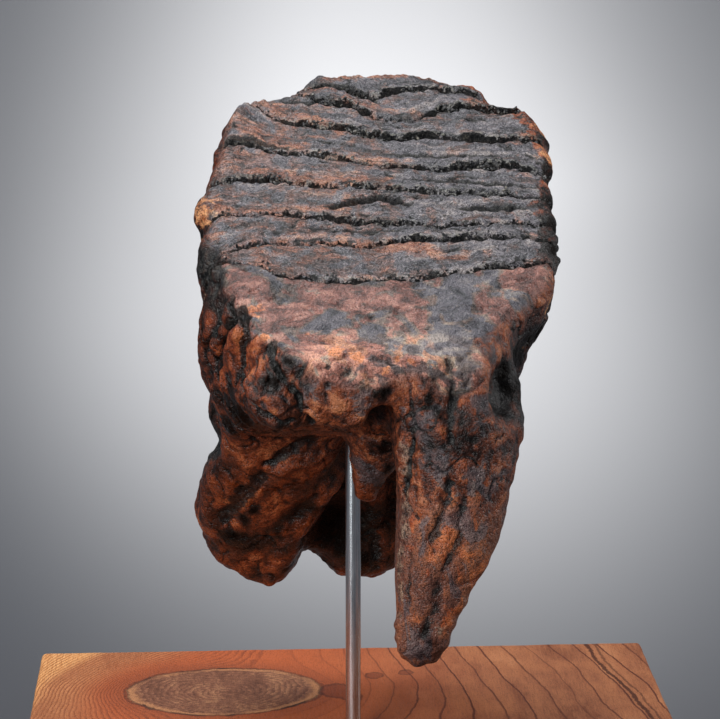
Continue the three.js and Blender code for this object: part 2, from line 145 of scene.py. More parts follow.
# Folds, furrows, grooves and rolls of the front and the roots. Each is the line of its middle in mm, its
# half width, and its height: a negative one is cut in.
FOLDS = [
    ([(-29, -35.5, 164.5), (-28.5, -40, 162.5), (-28.5, -41.5, 159), (-28.5, -40.5, 155),
      (-29, -39.5, 150.5), (-28.5, -43.5, 148.5)], 1.3, -3),
    ([(-32, -32, 165.5), (-31.5, -36, 162.5), (-31.5, -31, 158), (-33, -25.5, 153), (-34.5, -22, 149.5)],
     1.3, -2.8),
    ([(-35.5, -27, 165.5), (-35, -28, 161.5), (-35.5, -24, 157), (-36.5, -20, 152)], 1.2, -2),
    ([(-30, -40, 161), (-30.5, -36.5, 156.5), (-31.5, -32.5, 152), (-32.5, -28, 147), (-32, -27.5, 143.5)],
     1.8, 1.7),
    ([(-24, -45.5, 161.5), (-25, -47.5, 158), (-26, -48.5, 155.5), (-26.5, -50, 149), (-24, -54, 148)],
     1.3, 1.2),
    ([(-22, -48.5, 159.5), (-21, -52, 155.5), (-19, -53.5, 152), (-16, -54.5, 149), (-14, -53.5, 145),
      (-12.5, -51.5, 140.5)], 1.1, -1.8),
    ([(-20.5, -51.5, 157), (-17.5, -53.5, 154), (-16, -55, 150.5), (-14, -55, 147)], 0.9, 0.9),
    ([(-25.5, -50.5, 150.5), (-22.5, -55, 149), (-19, -55, 146)], 3, 1.4),
    ([(-28, -49, 147.5), (-25, -53, 144.5), (-21, -55.5, 143), (-17.5, -54, 141.5)], 1.3, -1.6),
    ([(-37, -20, 152), (-37, -8, 146), (-37, 2, 141)], 6, 2.4),
    ([(-37.5, 10, 184), (-37.5, 5, 181)], 4, 2),
    ([(-14, -55, 155.5), (-16, -55.5, 153), (-17, -55, 151)], 1.3, -1),
    ([(-10.5, -56.5, 153), (-8, -55.5, 155), (-5, -54.5, 156.5)], 0.8, -0.6),
    ([(-9, -57.5, 149.5), (-6.5, -57, 151.5), (-3, -56, 153.5)], 0.8, -0.6),
    ([(-16, -53.5, 158.5), (-6, -53, 159), (3, -54.5, 157.5), (10.5, -55, 157.5), (17, -56, 156.5)],
     1.8, 0.6),
    ([(20, -54, 157), (21, -56.5, 153), (20.5, -58.5, 146), (20, -60, 138.5)], 1.2, -1),
    ([(11, -56.5, 140), (10.5, -56.5, 134.5), (9.5, -55, 125.5)], 1.1, -1.2),
    ([(20, -60, 127.5), (19, -60.5, 123.5), (18, -60.5, 119.5), (16.5, -61, 115.5), (16, -61.5, 111.5)],
     1.3, -0.8),
    ([(23.5, -60.5, 124), (22.5, -60.5, 120), (22, -61, 111.5), (20, -61.5, 109.5), (18, -61.5, 104.5),
      (17, -61.5, 101.5), (16.5, -61, 97), (15.5, -61, 93), (14, -60.5, 89.5)], 1.4, -0.8),
    ([(11.5, -57.5, 132), (11.5, -58.5, 122), (11, -59.5, 114), (10.5, -59.5, 105), (10, -59.5, 96)],
     0.8, -0.6),
    ([(26, -56, 104), (24, -57, 98)], 3, 1.1),
    ([(-24, -50, 157), (-22, -53, 152), (-18, -55, 147)], 0.8, -1),
    ([(-26, -50, 153), (-24, -53, 149), (-20, -55.5, 146)], 0.8, -0.8),
    ([(-21.5, -3.5, 116.5), (-17, -5.5, 120.5), (-11.5, -5.5, 124.5)], 1.6, -1.6),
    ([(-22.5, -2, 113), (-15, -3, 115.5), (-8, -2.5, 119)], 1.5, 1.2),
    ([(-2.5, 11, 112), (-9, 11.5, 101.5), (-16, 20.5, 87.5), (-22, 31.5, 73)], 3, 2.2),
    ([(-33.5, -0.5, 121), (-36, 8, 112.5), (-38.5, 15.5, 103), (-38.5, 19, 94.5)], 3, 1.5),
    ([(-33.5, 14.5, 96), (-28.5, 5, 106), (-23.5, -1.5, 112)], 2.4, -1.3),
    ([(9.5, -57, 92), (10.5, -57, 86)], 2.2, 1.6),
    ([(21, -56, 96), (18, -57, 88), (16, -57, 84)], 2.2, 1.6),
    ([(38, -42, 146), (37.5, -46, 138), (36.5, -44, 132), (32, -50, 120), (28, -54, 108)], 4.5, 1.7),
    ([(-38, 4, 119), (-38, 20, 116), (-37, 36, 112)], 4.5, -3.2),
    ([(-37, 20, 108), (-39, 28, 96)], 5, 1),
    ([(-36, 32, 84), (-34, 31, 78)], 5, 2),
    ([(-37, -14, 172), (-35.5, -26, 164)], 5, -1.5),
    ([(3, -54.5, 156), (10.5, -56.5, 155), (17, -57, 153.5)], 1, -0.8),
    ([(3.5, 30, 90), (8, 32.5, 83), (7.5, 37, 73)], 1.8, -1.2),
]

# Bands of orange cement on the grinding surface, in mm: x, y along the middle, then half width and strength.
CEMENT = [
    ([(-35, -17), (-32, -16), (-22, -12.5), (-6, -12.6), (3, -12.8)], 1.1, 0.8),
    ([(1, -13), (10, -14), (17.4, -15.1)], 1.6, 1.3),
    ([(-37, 2.5), (-35, 2.1), (-22, 0), (-5, 0.2)], 1.3, 1),
    ([(-31, 18.4), (-24, 16.5), (-17.9, 14.5)], 1.7, 1.1),
    ([(-15, 14.5), (-3, 13.4), (8.2, 12.2)], 1.5, 1.1),
    ([(-29, 35.5), (-20, 30.5), (-11.6, 26.8)], 1.4, 1),
    ([(-2, 22.5), (11, 21.6)], 2, 0.7),
    ([(-26, 51), (-17.8, 44.6), (-10, 40), (-2.5, 36.5)], 1.6, 1),
    ([(-1, 48.7), (6, 46), (11.4, 43.3)], 1.6, 0.6),
    ([(34.9, 46.7), (39.2, 44.3)], 1.8, 1.2),
    ([(46, 31.2), (52.4, 30.5)], 1.6, 1.1),
    ([(19, -18), (27, -19)], 1.2, 0.8),
    ([(38, -27), (47, -20)], 2, 0.9),
    ([(-3, 60.5), (10, 62), (26, 61)], 1.8, 1.2),
]
# Patches on the smooth front part and the lip, in mm: x, y, half size. Salmon ones first, then slate ones.
SALMON = [
    (-2, -34, 5), (11, -37, 6), (1, -42, 3), (-19, -40, 5), (-27, -29, 5), (-14, -30, 4), (-10, -50, 5),
    (2, -53, 5), (12, -55, 4), (33, -38, 5), (42, -27, 5), (-5, -57, 4),
]
SLATE = [
    (6, -50, 3), (11, -51, 3.5), (16, -51.5, 3.5), (22, -49, 4.5), (22, -36, 6), (24, -29, 5),
    (3, -46, 3.5), (-22, -22, 4), (-8, -43, 4), (30, -46, 4), (38, -34, 3),
]

# Stains on the front, the sides and the roots, in mm: x, y, z, half size. The black ones are soot-like
# manganese, and on the right flank under the rim and below the right of the lip they are also painted shade.
# The ochre ones are iron and the ash ones bare dentine; on the stub both are also a painted highlight.
SOOT_AND_SHADE = [
    (14, -60, 80, 5), (17, -60, 84, 3.5), (14.5, -61, 91, 2), (15.5, -60.5, 88, 2), (12.5, -60, 85, 2),
    (-22, -54, 152, 2.5), (-20, -52, 155, 2), (4, -58, 150, 3), (3, -37, 140, 3), (-36, 10, 126, 2.5),
    (-32, -14, 131, 3), (-25, -19, 131, 2.5), (-20, -11, 127, 2.5), (-13, -7, 125, 2),
    (-28, -39, 163, 2), (-28, -43, 159, 1.5), (-31, -30, 159, 1.5), (-33, -25, 150, 1.5),
    (-13, -56, 153, 2), (-18, -53, 157, 2), (-8, -56, 155, 1.5), (-11, -57, 151, 1.5),
    (16, -56, 153, 2.5), (15, -56, 148, 2.5), (18, -59, 145, 2), (20, -57, 150, 2), (34, -42, 151, 3.5),
    (35, -41, 145, 4), (32, -49, 142, 3), (40, -26, 149, 3.5), (6, -30, 129, 2.5), (7, -27, 123, 2),
    (6, -24, 116, 2), (-9, 13, 100, 4), (-12, 23, 88, 4), (-16, 26, 79, 3.5), (-32, 18, 90, 3),
    (-29, 12, 96, 2.5), (-26, 9, 100, 2), (-2, 33, 82, 6), (4, 34, 76, 6), (10, 35, 90, 7),
    (-4, 31, 91, 4), (-21, 29, 76, 2), (48, -6, 158, 9), (50, 10, 166, 10), (42, -20, 156, 8),
    (40, -30, 150, 8), (37, -38, 143, 8), (44, -12, 145, 12), (-38, -2, 154, 7), (-28, -28, 138, 6),
    (-38, 22, 160, 10), (-2, 36, 90, 14), (52, 20, 187, 6), (52, 6, 182, 6), (51, -5, 177, 5),
    (50, -14, 173, 5), (54, 34, 194, 4), (23, -70, 141, 13),
]
# The spot on the stub, at x 3 and y -33, lightens it: a painted highlight.
OCHRE_AND_HIGHLIGHT = [
    (3, -33, 129, 5), (13.5, -61, 95, 2), (21, -59.5, 93, 2), (27.5, -59, 111, 3), (25, -59, 105, 3),
    (23.5, -58.5, 98.5, 2.5), (-6, 11, 106, 2.5), (-10, 13, 99, 2.5), (-13, 17, 92, 2.5),
    (-18, 24, 82, 2.5), (-21, 30, 75, 2.5), (-24, -46, 160, 1.5), (-25, -48, 157, 1.5),
    (-26, -50, 153, 1.5), (-30, -40, 160, 1.5), (-32, -32, 151, 2), (-32, -28, 147, 2),
    (-33, -24, 143, 2), (29, -57, 108, 3), (23, -58, 96, 2.5), (20, -58, 90, 2), (33, -54, 122, 2.5),
    (-23, -51, 156, 1.5), (-25, -51, 151, 1.5), (-27, -52, 147, 1.5), (-22, -56, 145, 1.5),
    (-18, -55, 148, 1), (-14, -53, 144, 1.5), (-33, -26, 145, 2.5), (-32, -27, 142, 2),
    (-6, -53, 159, 3), (-2, -53.5, 158.5, 3), (3, -54.5, 158, 1.8), (7, -55, 157.5, 1.6),
    (11, -55.5, 157, 1.8), (15, -56, 156.5, 1.5), (5, -56, 154.5, 2), (-13, -47, 161, 2),
    (-25, -37, 165, 3), (36, -44, 160, 3), (-36, 9, 109, 2), (-35, 11, 101, 3), (-37, 20, 90, 2.5),
    (-25, 23, 82, 3), (-22, 17, 90, 2), (-20, 6, 104, 3), (-13, 0, 112, 2.5), (13, -61, 94, 1.5),
    (21, -61, 101, 2.5), (25, -60, 112, 3.5), (15, -61, 110, 2.5), (13, -59, 119, 2.5),
    (19, -60, 141, 2), (-6, -57, 147, 2), (-1, -57, 144, 1.5), (-12, -55, 145, 2), (51, 30, 180, 5),
    (52, 2, 172, 3), (22, -68, 120, 14), (-30, -2, 120, 5), (-22, -5, 121, 4),
]
# The spots on the stub, at x 2 to 3 and y -34 to -28, lighten it: a painted highlight.
ASH_AND_HIGHLIGHT = [
    (19, -60, 131.5, 4), (17.5, -59.5, 136.5, 4), (27, -60, 129, 3), (30, -58.5, 126, 3),
    (21.5, -61, 119.5, 3), (2, -34, 126, 5), (-21, -54, 147, 2.5), (-24, -53, 148, 2.5),
    (0, -57, 150, 3), (-12, -56, 152, 2), (3, -31, 131, 4), (3, -28, 121, 6), (-15, -55, 155, 1.5),
    (-8, -57, 151, 1.5), (15, -59, 139, 2.5), (14, -59, 132, 2), (22, -60, 127, 2), (-23, -54, 147, 2),
    (28, -58, 146, 3), (20, -58, 138, 7), (26, -58, 142, 6), (24, -60, 130, 6), (-28, -3, 119, 4),
    (-20, -5, 119, 3), (14, -58, 144, 4), (30, -56, 128, 4), (26, -58, 116, 3),
]

# Pale crust on the front root and on the rim.
CRUST = [
    (9.5, -54.5, 135, 2.4), (9.5, -55.5, 130, 2.4), (9.5, -55.5, 125, 2.6), (9.3, -56.5, 120, 2.6),
    (9, -58, 115, 2.4), (8.5, -58.5, 110, 2.2), (8, -58, 105, 2), (8, -58, 100, 2), (8, -58, 95, 1.8),
    (8, -57.5, 90, 1.6), (18, -60.5, 91, 1.8), (-37, 15, 184, 2.4), (-36, 0.5, 181.5, 2),
    (-38, -15.5, 163, 2.2), (-37, -12, 172, 1.8), (-15, -54, 154, 1.4), (-12, -55, 156, 1.2),
]
# Painted highlight: thin edges coloured bright amber, as if light shone through them.
AMBER_HIGHLIGHTS = [
    (-38, 3, 181, 4.5), (-38, 9, 178, 4), (-37, 26, 186, 3), (-38, 20, 180, 3), (53, 38, 196, 3),
    (37, 59, 205, 3), (51, 44, 199, 2.5), (54, 26, 188, 4), (47, -20, 164, 4),
]

# Where the rim stands above or below the even slope, in mm: x, y, half size, rise.
RIM_STEPS = [
    (-31, 44, 5, 4.6), (-20, 57, 6, -5), (-13, 58, 4, -2), (30, 62, 7, -2.8), (43, 52, 6, -5.6),
    (51, 41, 4, 1.2), (-36, 27, 4, 1.2), (-34, 15, 4, -1), (53, 16, 4, -1.2),
]

# Lumps are made in cells: the corners of a cell, the slopes that they may have, and the numbers that turn
# a cell's place into a random pick of one.
CORNERS = np.array([[i & 1, i >> 1 & 1, i >> 2 & 1] for i in range(8)])
DIRECTIONS = np.array([
    (1, 1, 0), (-1, 1, 0), (1, -1, 0), (-1, -1, 0), (1, 0, 1), (-1, 0, 1),
    (1, 0, -1), (-1, 0, -1), (0, 1, 1), (0, -1, 1), (0, 1, -1), (0, -1, -1),
])
SCRAMBLE = {"x": 73856093, "y": 19349663, "z": 83492791, "seed": 9781, "again": 1274126177}
SEED_SHIFT = 7.13  # how many cells each seed moves the lumps by


def ramp(value, start, end):
    """0 at start, 1 at end and a smooth rise between them. start may be above end."""
    t = np.clip((value - start) / (end - start), 0, 1)
    return t * t * (3 - 2 * t)


def lumps(points, size, seed):
    """Smooth lumps from about -1 to 1 over points in mm. size is one number or a size along each axis."""
    scaled = points / np.broadcast_to(np.asarray(size, float), (3,)) + seed * SEED_SHIFT
    cell = np.floor(scaled).astype(np.int64)
    place = scaled - cell
    ease = place**3 * (place * (place * 6 - 15) + 10)
    total = np.zeros(len(points))
    for corner in CORNERS:
        x, y, z = (cell + corner).T
        code = x * SCRAMBLE["x"] ^ y * SCRAMBLE["y"] ^ z * SCRAMBLE["z"] ^ seed * SCRAMBLE["seed"]
        code = (code ^ code >> 13) * SCRAMBLE["again"] & 0x7FFFFFFF
        slope = DIRECTIONS[(code >> 8) % 12]
        weight = np.prod(np.where(corner, ease, 1 - ease), axis=1)
        total += weight * ((place - corner) * slope).sum(axis=1)
    return total * 1.5


def rough(points, size, seed, layers=3):
    """Lumps with finer and lower lumps on them."""
    size = np.broadcast_to(np.asarray(size, float), (3,))
    return sum(lumps(points, size / 2**i, seed + i) / 2**i for i in range(layers)) / 1.6


def wander(points, reach, seeds, noise):
    """Points moved about by up to a reach in mm. noise gives the moves for a seed."""
    return points + reach * np.stack([noise(seed) for seed in seeds], axis=1)


def bell(distance, half_width):
    """1 at no distance, falling smoothly to nothing past a half width or two."""
    return np.exp(-((distance / half_width) ** 2))


def on_curve(table, at, column=1):
    """A column of a table at a place along its first column, with the corners rounded."""
    return sum(np.interp(at + shift, table[:, 0], table[:, column]) for shift in (-3, 0, 3)) / 3


def distance_to_line(points, line):
    """The distance of each point from a line through the given places."""
    nearest = np.full(len(points), 1e9)
    line = np.asarray(line, float)
    for start, end in zip(line, line[1:]):
        step = end - start
        share = np.clip((points - start) @ step / (step @ step), 0, 1)
        nearest = np.minimum(nearest, np.linalg.norm(points - start - share[:, None] * step, axis=1))
    return nearest


def nearest_patch(points, patches):
    """How deep each point lies in the nearest of some round patches: 1 in its middle, 0 at its edge."""
    depth = np.full(len(points), -3.0)
    for *middle, half_size in patches:
        gap = np.linalg.norm(points[:, :len(middle)] - np.array([middle]), axis=1)
        depth = np.maximum(depth, 1 - gap / half_size)
    return depth


def bake_modifiers(piece):
    """Keeps what a piece's modifiers make of its mesh, and removes them."""
    graph = bpy.context.evaluated_depsgraph_get()
    made = bpy.data.meshes.new_from_object(piece.evaluated_get(graph), depsgraph=graph)
    piece.modifiers.clear()
    piece.data = made


def fine_copy(node):
    """A copy of a solid's mesh with small even faces and its facets rounded off."""
    mesh = node.data.copy()
    mesh.materials.clear()
    shell = bmesh.new()
    shell.from_mesh(mesh)
    bmesh.ops.remove_doubles(shell, verts=shell.verts, dist=1e-6)
    shell.to_mesh(mesh)
    shell.free()
    copy = bpy.data.objects.new("fossil_tooth", mesh)
    bpy.context.scene.collection.objects.link(copy)
    remesh = copy.modifiers.new("remesh", "REMESH")
    remesh.mode = "VOXEL"
    remesh.voxel_size = VOXEL
    smooth = copy.modifiers.new("smooth", "SMOOTH")
    smooth.iterations = SMOOTHING
    finer = copy.modifiers.new("finer", "SUBSURF")
    finer.levels = finer.render_levels = HALVINGS
    bake_modifiers(copy)
    return copy


def vertex_array(mesh):
    """Every vertex's place in mm."""
    flat = np.empty(len(mesh.vertices) * 3)
    mesh.vertices.foreach_get("co", flat)
    return flat.reshape(-1, 3) / MM


def vertex_normals(mesh):
    """The direction that the surface faces at every vertex."""
    flat = np.empty(len(mesh.vertices) * 3, np.float32)
    mesh.vertex_normals.foreach_get("vector", flat)
    return flat.reshape(-1, 3).astype(float)


def put_back(mesh, points):
    """Moves the vertices to places in mm."""
    mesh.vertices.foreach_set("co", (points * MM).astype(np.float32).ravel())
    mesh.update()


def keep_masks(mesh, masks):
    """Stores numbers for each vertex under the names that the material reads."""
    for name, values in masks.items():
        mesh.attributes.new(name, "FLOAT", "POINT").data.foreach_set("value", values.astype(np.float32))


def seam_places(x, y):
    """Each vertex's plate, the gap to the crack in front and to the one behind, and how open both are."""
    plate = np.zeros(len(x), int)
    behind, ahead = np.full(len(x), NO_SEAM["behind"]), np.full(len(x), NO_SEAM["ahead"])
    openness, next_openness = np.zeros(len(x)), np.zeros(len(x))
    flat = np.stack([x, np.zeros_like(x), np.zeros_like(x)], axis=1)
    for number, seam in enumerate(SEAMS):
        seam = np.array(seam, float)
        line = on_curve(seam, x)
        for size, reach in SEAM_WANDER:
            line = line + reach * lumps(flat, size, 30 + number)
        gap = y - line
        open_here = np.interp(x, seam[:, 0], seam[:, 2]) * (1 + 0.5 * lumps(flat, 6, 60 + number))
        past = gap > 0
        plate[past] = number + 1
        behind = np.where(past, gap, behind)
        openness = np.where(past, open_here, openness)
        nearer = ~past & (-gap < ahead)
        ahead = np.where(nearer, -gap, ahead)
        next_openness = np.where(nearer, open_here, next_openness)
    ahead = np.where(plate == len(SEAMS), NO_SEAM["last"], ahead)
    return plate, behind, ahead, np.clip(openness, 0.15, 1.5), np.clip(next_openness, 0.15, 1.5)


def tooth_zones(points):
    """Where each vertex is: how far inside the rim and how deep below it, its plate, its cracks, its zone."""
    x, y, z = points.T
    t = SimpleNamespace(points=points, x=x, y=y, z=z, flat=points * (1, 1, 0))
    t.ground = on_curve(GRINDING, y)
    t.left, t.right = on_curve(RIM, y, 1), on_curve(RIM, y, 2)
    t.depth = t.ground - z
    t.inside = np.minimum.reduce([x - t.left, t.right - x, y - TOOTH_FRONT, TOOTH_BACK - y])
    t.on_top = ramp(t.inside, -0.5, 4) * (1 - ramp(t.depth, 7, 11))
    crown = ramp(z, *CROWN_FADE)
    t.side = (1 - t.on_top) * crown
    t.root = (1 - crown) * (1 - t.on_top)
    t.front_root = t.root * ramp(y, -22, -36)

    # The cracks run on down the sides, leaning back.
    row = y + SEAM_LEAN * np.clip(t.depth, 0, 60)
    across = np.clip(x, t.left, t.right)
    plate, t.behind, t.ahead, t.open_behind, t.open_ahead = seam_places(across, row)
    t.plateau = plate == 0
    t.plates = ~t.plateau
    t.share = t.behind / (t.behind + t.ahead)
    t.strata = np.stack([across, t.behind, plate * PLATE_SHIFT], axis=1)
    t.warped = points + 2.5 * np.stack([lumps(points, 14, 15), lumps(points, 14, 16), 0 * x], axis=1)
    t.creases = ramp(np.abs(lumps(t.warped, (7, 7, 11), 45)), 0.1, 0)
    t.creases *= ramp(lumps(points, 12, 47), -0.2, 0.15)
    t.minor = ramp(np.abs(lumps(t.strata, (9, 1.7, 1), 5)), 0.14, 0)
    t.minor *= ramp(lumps(t.strata, (8, 3, 1), 7), -0.3, 0.2)
    return t


def split_openness(t):
    """How open a split inside a plate is at each vertex, from 0 beside it."""
    split = np.zeros(len(t.x))
    sway = 0.7 * lumps(t.points * (1, 0, 0), 2.4, 91)
    for line in SPLITS:
        line = np.array(line, float)
        width = np.interp(t.x, line[:, 0], line[:, 2], left=0, right=0)
        split = np.maximum(split, width * bell(t.y - (on_curve(line, t.x) + sway), 0.5 + 0.5 * width))
    return split


def ground_down(t, split):
    """How far the grinding surface rises: each plate starts as a ledge and falls back to the next crack."""
    ledge = PLATE_STEP * t.open_behind * ramp(t.behind, 0, 0.9) * (1 - 0.85 * ramp(t.share, 0.05, 0.95))
    cut = CRACK_DEPTH * (np.sqrt(t.open_behind) * bell(t.behind - 0.1, 0.55)
                         + np.sqrt(t.open_ahead) * bell(t.ahead + 0.1, 0.5))
    leaves = 0.22 * lumps(t.strata, (7, 1.4, 1), 6)
    crumble = 0.5 * rough(t.flat, (2.6, 1.8, 1), 8, 2) * (1 + 2 * ramp(t.inside, 5, 1))
    swell = 0.9 * lumps(t.flat, (14, 11, 1), 11) + 0.35 * lumps(t.flat, (6, 4.5, 1), 12)
    pits = ramp(lumps(t.flat, (5, 2.6, 1), 13), 0.5, 0.75)
    steps = sum(rise * bell(np.hypot(t.x - at_x, t.y - at_y), size) for at_x, at_y, size, rise in RIM_STEPS)
    worn = np.where(t.plateau, 0.3 * crumble + 0.8 * swell - 0.8 * pits,
                    ledge + leaves + crumble + 0.3 * swell - 0.5 * t.minor)
    top = t.ground + worn + steps - cut - SPLIT_DEPTH * split
    top -= (2.2 - 1.4 * ramp(t.y, -40, -50)) * (1 - ramp(t.inside, 0, 5)) ** 2
    return t.on_top * (top - t.z)


def side_relief(t):
    """How far the sides stand out: plate ends, deep folds with sharp valleys on the left, and lumps."""
    rib = (np.sin(np.clip(t.share, 0, 1) * math.pi) - t.open_behind * bell(t.behind, 1.2)
           - t.open_ahead * bell(t.ahead, 1.2))
    fold = 1.4 * np.minimum(np.abs(lumps(t.warped, (5.5, 5.5, 34), 21)) * 3, 1) - 0.9
    deep_folds = ramp(t.x, -8, -28) * ramp(t.y, 14, -14)
    out = t.side * (0.9 * rib * t.plates + (0.12 + 0.7 * deep_folds) * fold)
    return out + t.side * (1 - 0.7 * t.on_top) * 0.9 * rough(t.points, (7, 7, 10), 23, 3)


def root_relief(t, out):
    """Adds long flutes with sharp valleys and low lumps to the roots. The front root is smoother."""
    flutes = 0.6 * np.minimum(np.abs(lumps(t.warped, (7, 7, 34), 31)) * 2.6, 1) - 0.4
    out += (t.root - 0.85 * t.front_root) * (0.5 * flutes + 1.1 * rough(t.points, (9, 9, 13), 33, 3))
    out += (t.side + t.root - 0.6 * t.front_root) * 0.3 * rough(t.points, (2.8, 2.8, 3.6), 41, 2)
    out -= (t.side + 0.5 * t.root) * 0.7 * t.creases
    return out


def fold_relief(t):
    """How far the single folds, furrows and rolls stand out."""
    wobbly = wander(t.points, 0.8, (71, 72, 73), lambda seed: lumps(t.points, 3, seed))
    folded = np.zeros(len(t.x))
    for line, half_width, height in FOLDS:
        folded += height * bell(distance_to_line(wobbly, line), half_width)
    return folded


def hollows(mesh, points):
    """How far each vertex lies below its surroundings, over a wide and over a narrow neighbourhood."""
    edges = np.empty(len(mesh.edges) * 2, np.int32)
    mesh.edges.foreach_get("vertices", edges)
    a, b = edges.reshape(-1, 2).T
    count = len(points)
    links = np.bincount(a, minlength=count) + np.bincount(b, minlength=count)
    normals = vertex_normals(mesh)
    even = points.copy()
    below = {}
    for rounds in range(1, EVEN_ROUNDS["wide"] + 1):
        total = np.stack([np.bincount(a, even[b, k], count) + np.bincount(b, even[a, k], count)
                          for k in range(3)], axis=1)
        even = (1 - EVENING) * even + EVENING * total / links[:, None]
        for reach, last in EVEN_ROUNDS.items():
            if rounds == last:
                depth = ((even - points) * normals).sum(axis=1)
                below[reach] = np.clip(0.5 + depth / HOLLOW_DEPTH[reach], 0, 1)
    return below


def patch_masks(t, worked):
    """The masks of cement, stains and crust. Their edges wander."""
    wobbly = wander(worked, 1.6, (81, 84, 87), lambda seed: rough(worked, 6, seed, 4))
    cement = np.full(len(t.x), -3.0)
    for line, half_width, strength in CEMENT:
        near = distance_to_line(wobbly * (1, 1, 0), [(*place, 0) for place in line])
        cement = np.maximum(cement, strength * (1 - near / half_width / 1.6))
    return {
        "cement": cement * ramp(t.depth, 9, 4),
        "salmon": nearest_patch(wobbly, SALMON) * t.plateau,
        "slate": nearest_patch(wobbly, SLATE) * t.plateau,
        "soot_and_shade": nearest_patch(wobbly, SOOT_AND_SHADE),
        "ochre_and_highlight": nearest_patch(wobbly, OCHRE_AND_HIGHLIGHT),
        "ash_and_highlight": nearest_patch(wobbly, ASH_AND_HIGHLIGHT),
        "amber_highlight": nearest_patch(wobbly, AMBER_HIGHLIGHTS),
        "crust": nearest_patch(wobbly, CRUST),
    }


def shape_masks(t, worked, split, folded):
    """The masks that follow the tooth's shape."""
    seam_behind = t.behind < t.ahead
    at_seam = t.on_top * t.plates * ramp(np.minimum(t.behind, t.ahead), 3.4, 2.6)
    crumbly = t.open_behind * ramp(t.behind, 2.4, 0.5) + 0.5 * t.open_ahead * ramp(t.ahead, 1, 0.2)
    # Painted shade: near the right rim, behind the front, the top's colour gives way to the darker side
    # colour.
    shaded_right_edge = ramp(t.right - t.x + 2.6 * lumps(worked, 6, 94) + 1.2 * lumps(worked, 2.2, 95), 6, 4)
    return {
        "top": t.on_top * (1 - shaded_right_edge * ramp(t.y, -28, -12)),
        "lip": ramp(t.z, 146, 153) * ramp(t.y, -44, -50) * ramp(t.x, -18, -11) * ramp(t.x, 34, 22),
        "chips": t.on_top * t.plates * crumbly * ramp(lumps(t.flat, 9, 77), -0.3, 0.25),
        "side_to_side": t.x,
        "plateau": t.plateau * ramp(t.depth, 18, 7),
        "root": t.root,
        "front_root": t.front_root,
        "seam": np.where(seam_behind, t.behind, -t.ahead),
        "open": at_seam * np.where(seam_behind, t.open_behind, t.open_ahead),
        "split": t.on_top * np.clip(split + 0.6 * t.minor * t.plates, 0, 1),
        "rim": ramp(t.inside, 5, -1) * ramp(t.depth, 16, 4),
        "furrow": -0.75 * folded + 0.35 * t.creases * (t.side + 0.5 * t.root),
    }


def sculpt(mesh):
    """Works the plates, cracks, folds and roots into the fine mesh, and stores the masks for its colours."""
    t = tooth_zones(vertex_array(mesh))
    split, folded = split_openness(t), fold_relief(t)
    out = root_relief(t, side_relief(t)) + folded
    at_rod = (np.hypot(t.x, t.y) < ROD_CLEAR["radius"]) & (t.z < ROD_CLEAR["top"])
    worked = t.points + vertex_normals(mesh) * np.where(at_rod, 0, out)[:, None]
    worked[:, 2] += ground_down(t, split)
    put_back(mesh, worked)
    below = hollows(mesh, worked)
    keep_masks(mesh, shape_masks(t, worked, split, folded))
    keep_masks(mesh, patch_masks(t, worked))
    # The material darkens the surface by these two: painted shade in the hollows.
    keep_masks(mesh, {"hollow": below["wide"], "cavity": below["fine"]})
    grain = mesh.attributes.new("grain", "FLOAT_VECTOR", "POINT")
    grain.data.foreach_set("vector", t.strata.astype(np.float32).ravel())


tooth = fine_copy(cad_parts["tooth"])
sculpt(tooth.data)
slim = tooth.modifiers.new("slim", "DECIMATE")
slim.use_collapse_triangulate = True
slim.ratio = MOST_TRIANGLES / (2 * len(tooth.data.polygons))
bake_modifiers(tooth)
tooth.data.polygons.foreach_set("use_smooth", [True] * len(tooth.data.polygons))


def paint(r, g, b):
    """A colour given as seen on a screen, from 0 to 255."""
    return tuple(((c / 255 + 0.055) / 1.055) ** 2.4 if c > 10 else c / 255 / 12.92 for c in (r, g, b))


def new_material(name):
    """A material with its node tree and the shader that the tree ends in."""
    material = bpy.data.materials.new(name)
    material.use_nodes = True
    nodes = material.node_tree.nodes
    return material, material.node_tree, nodes["Principled BSDF"]


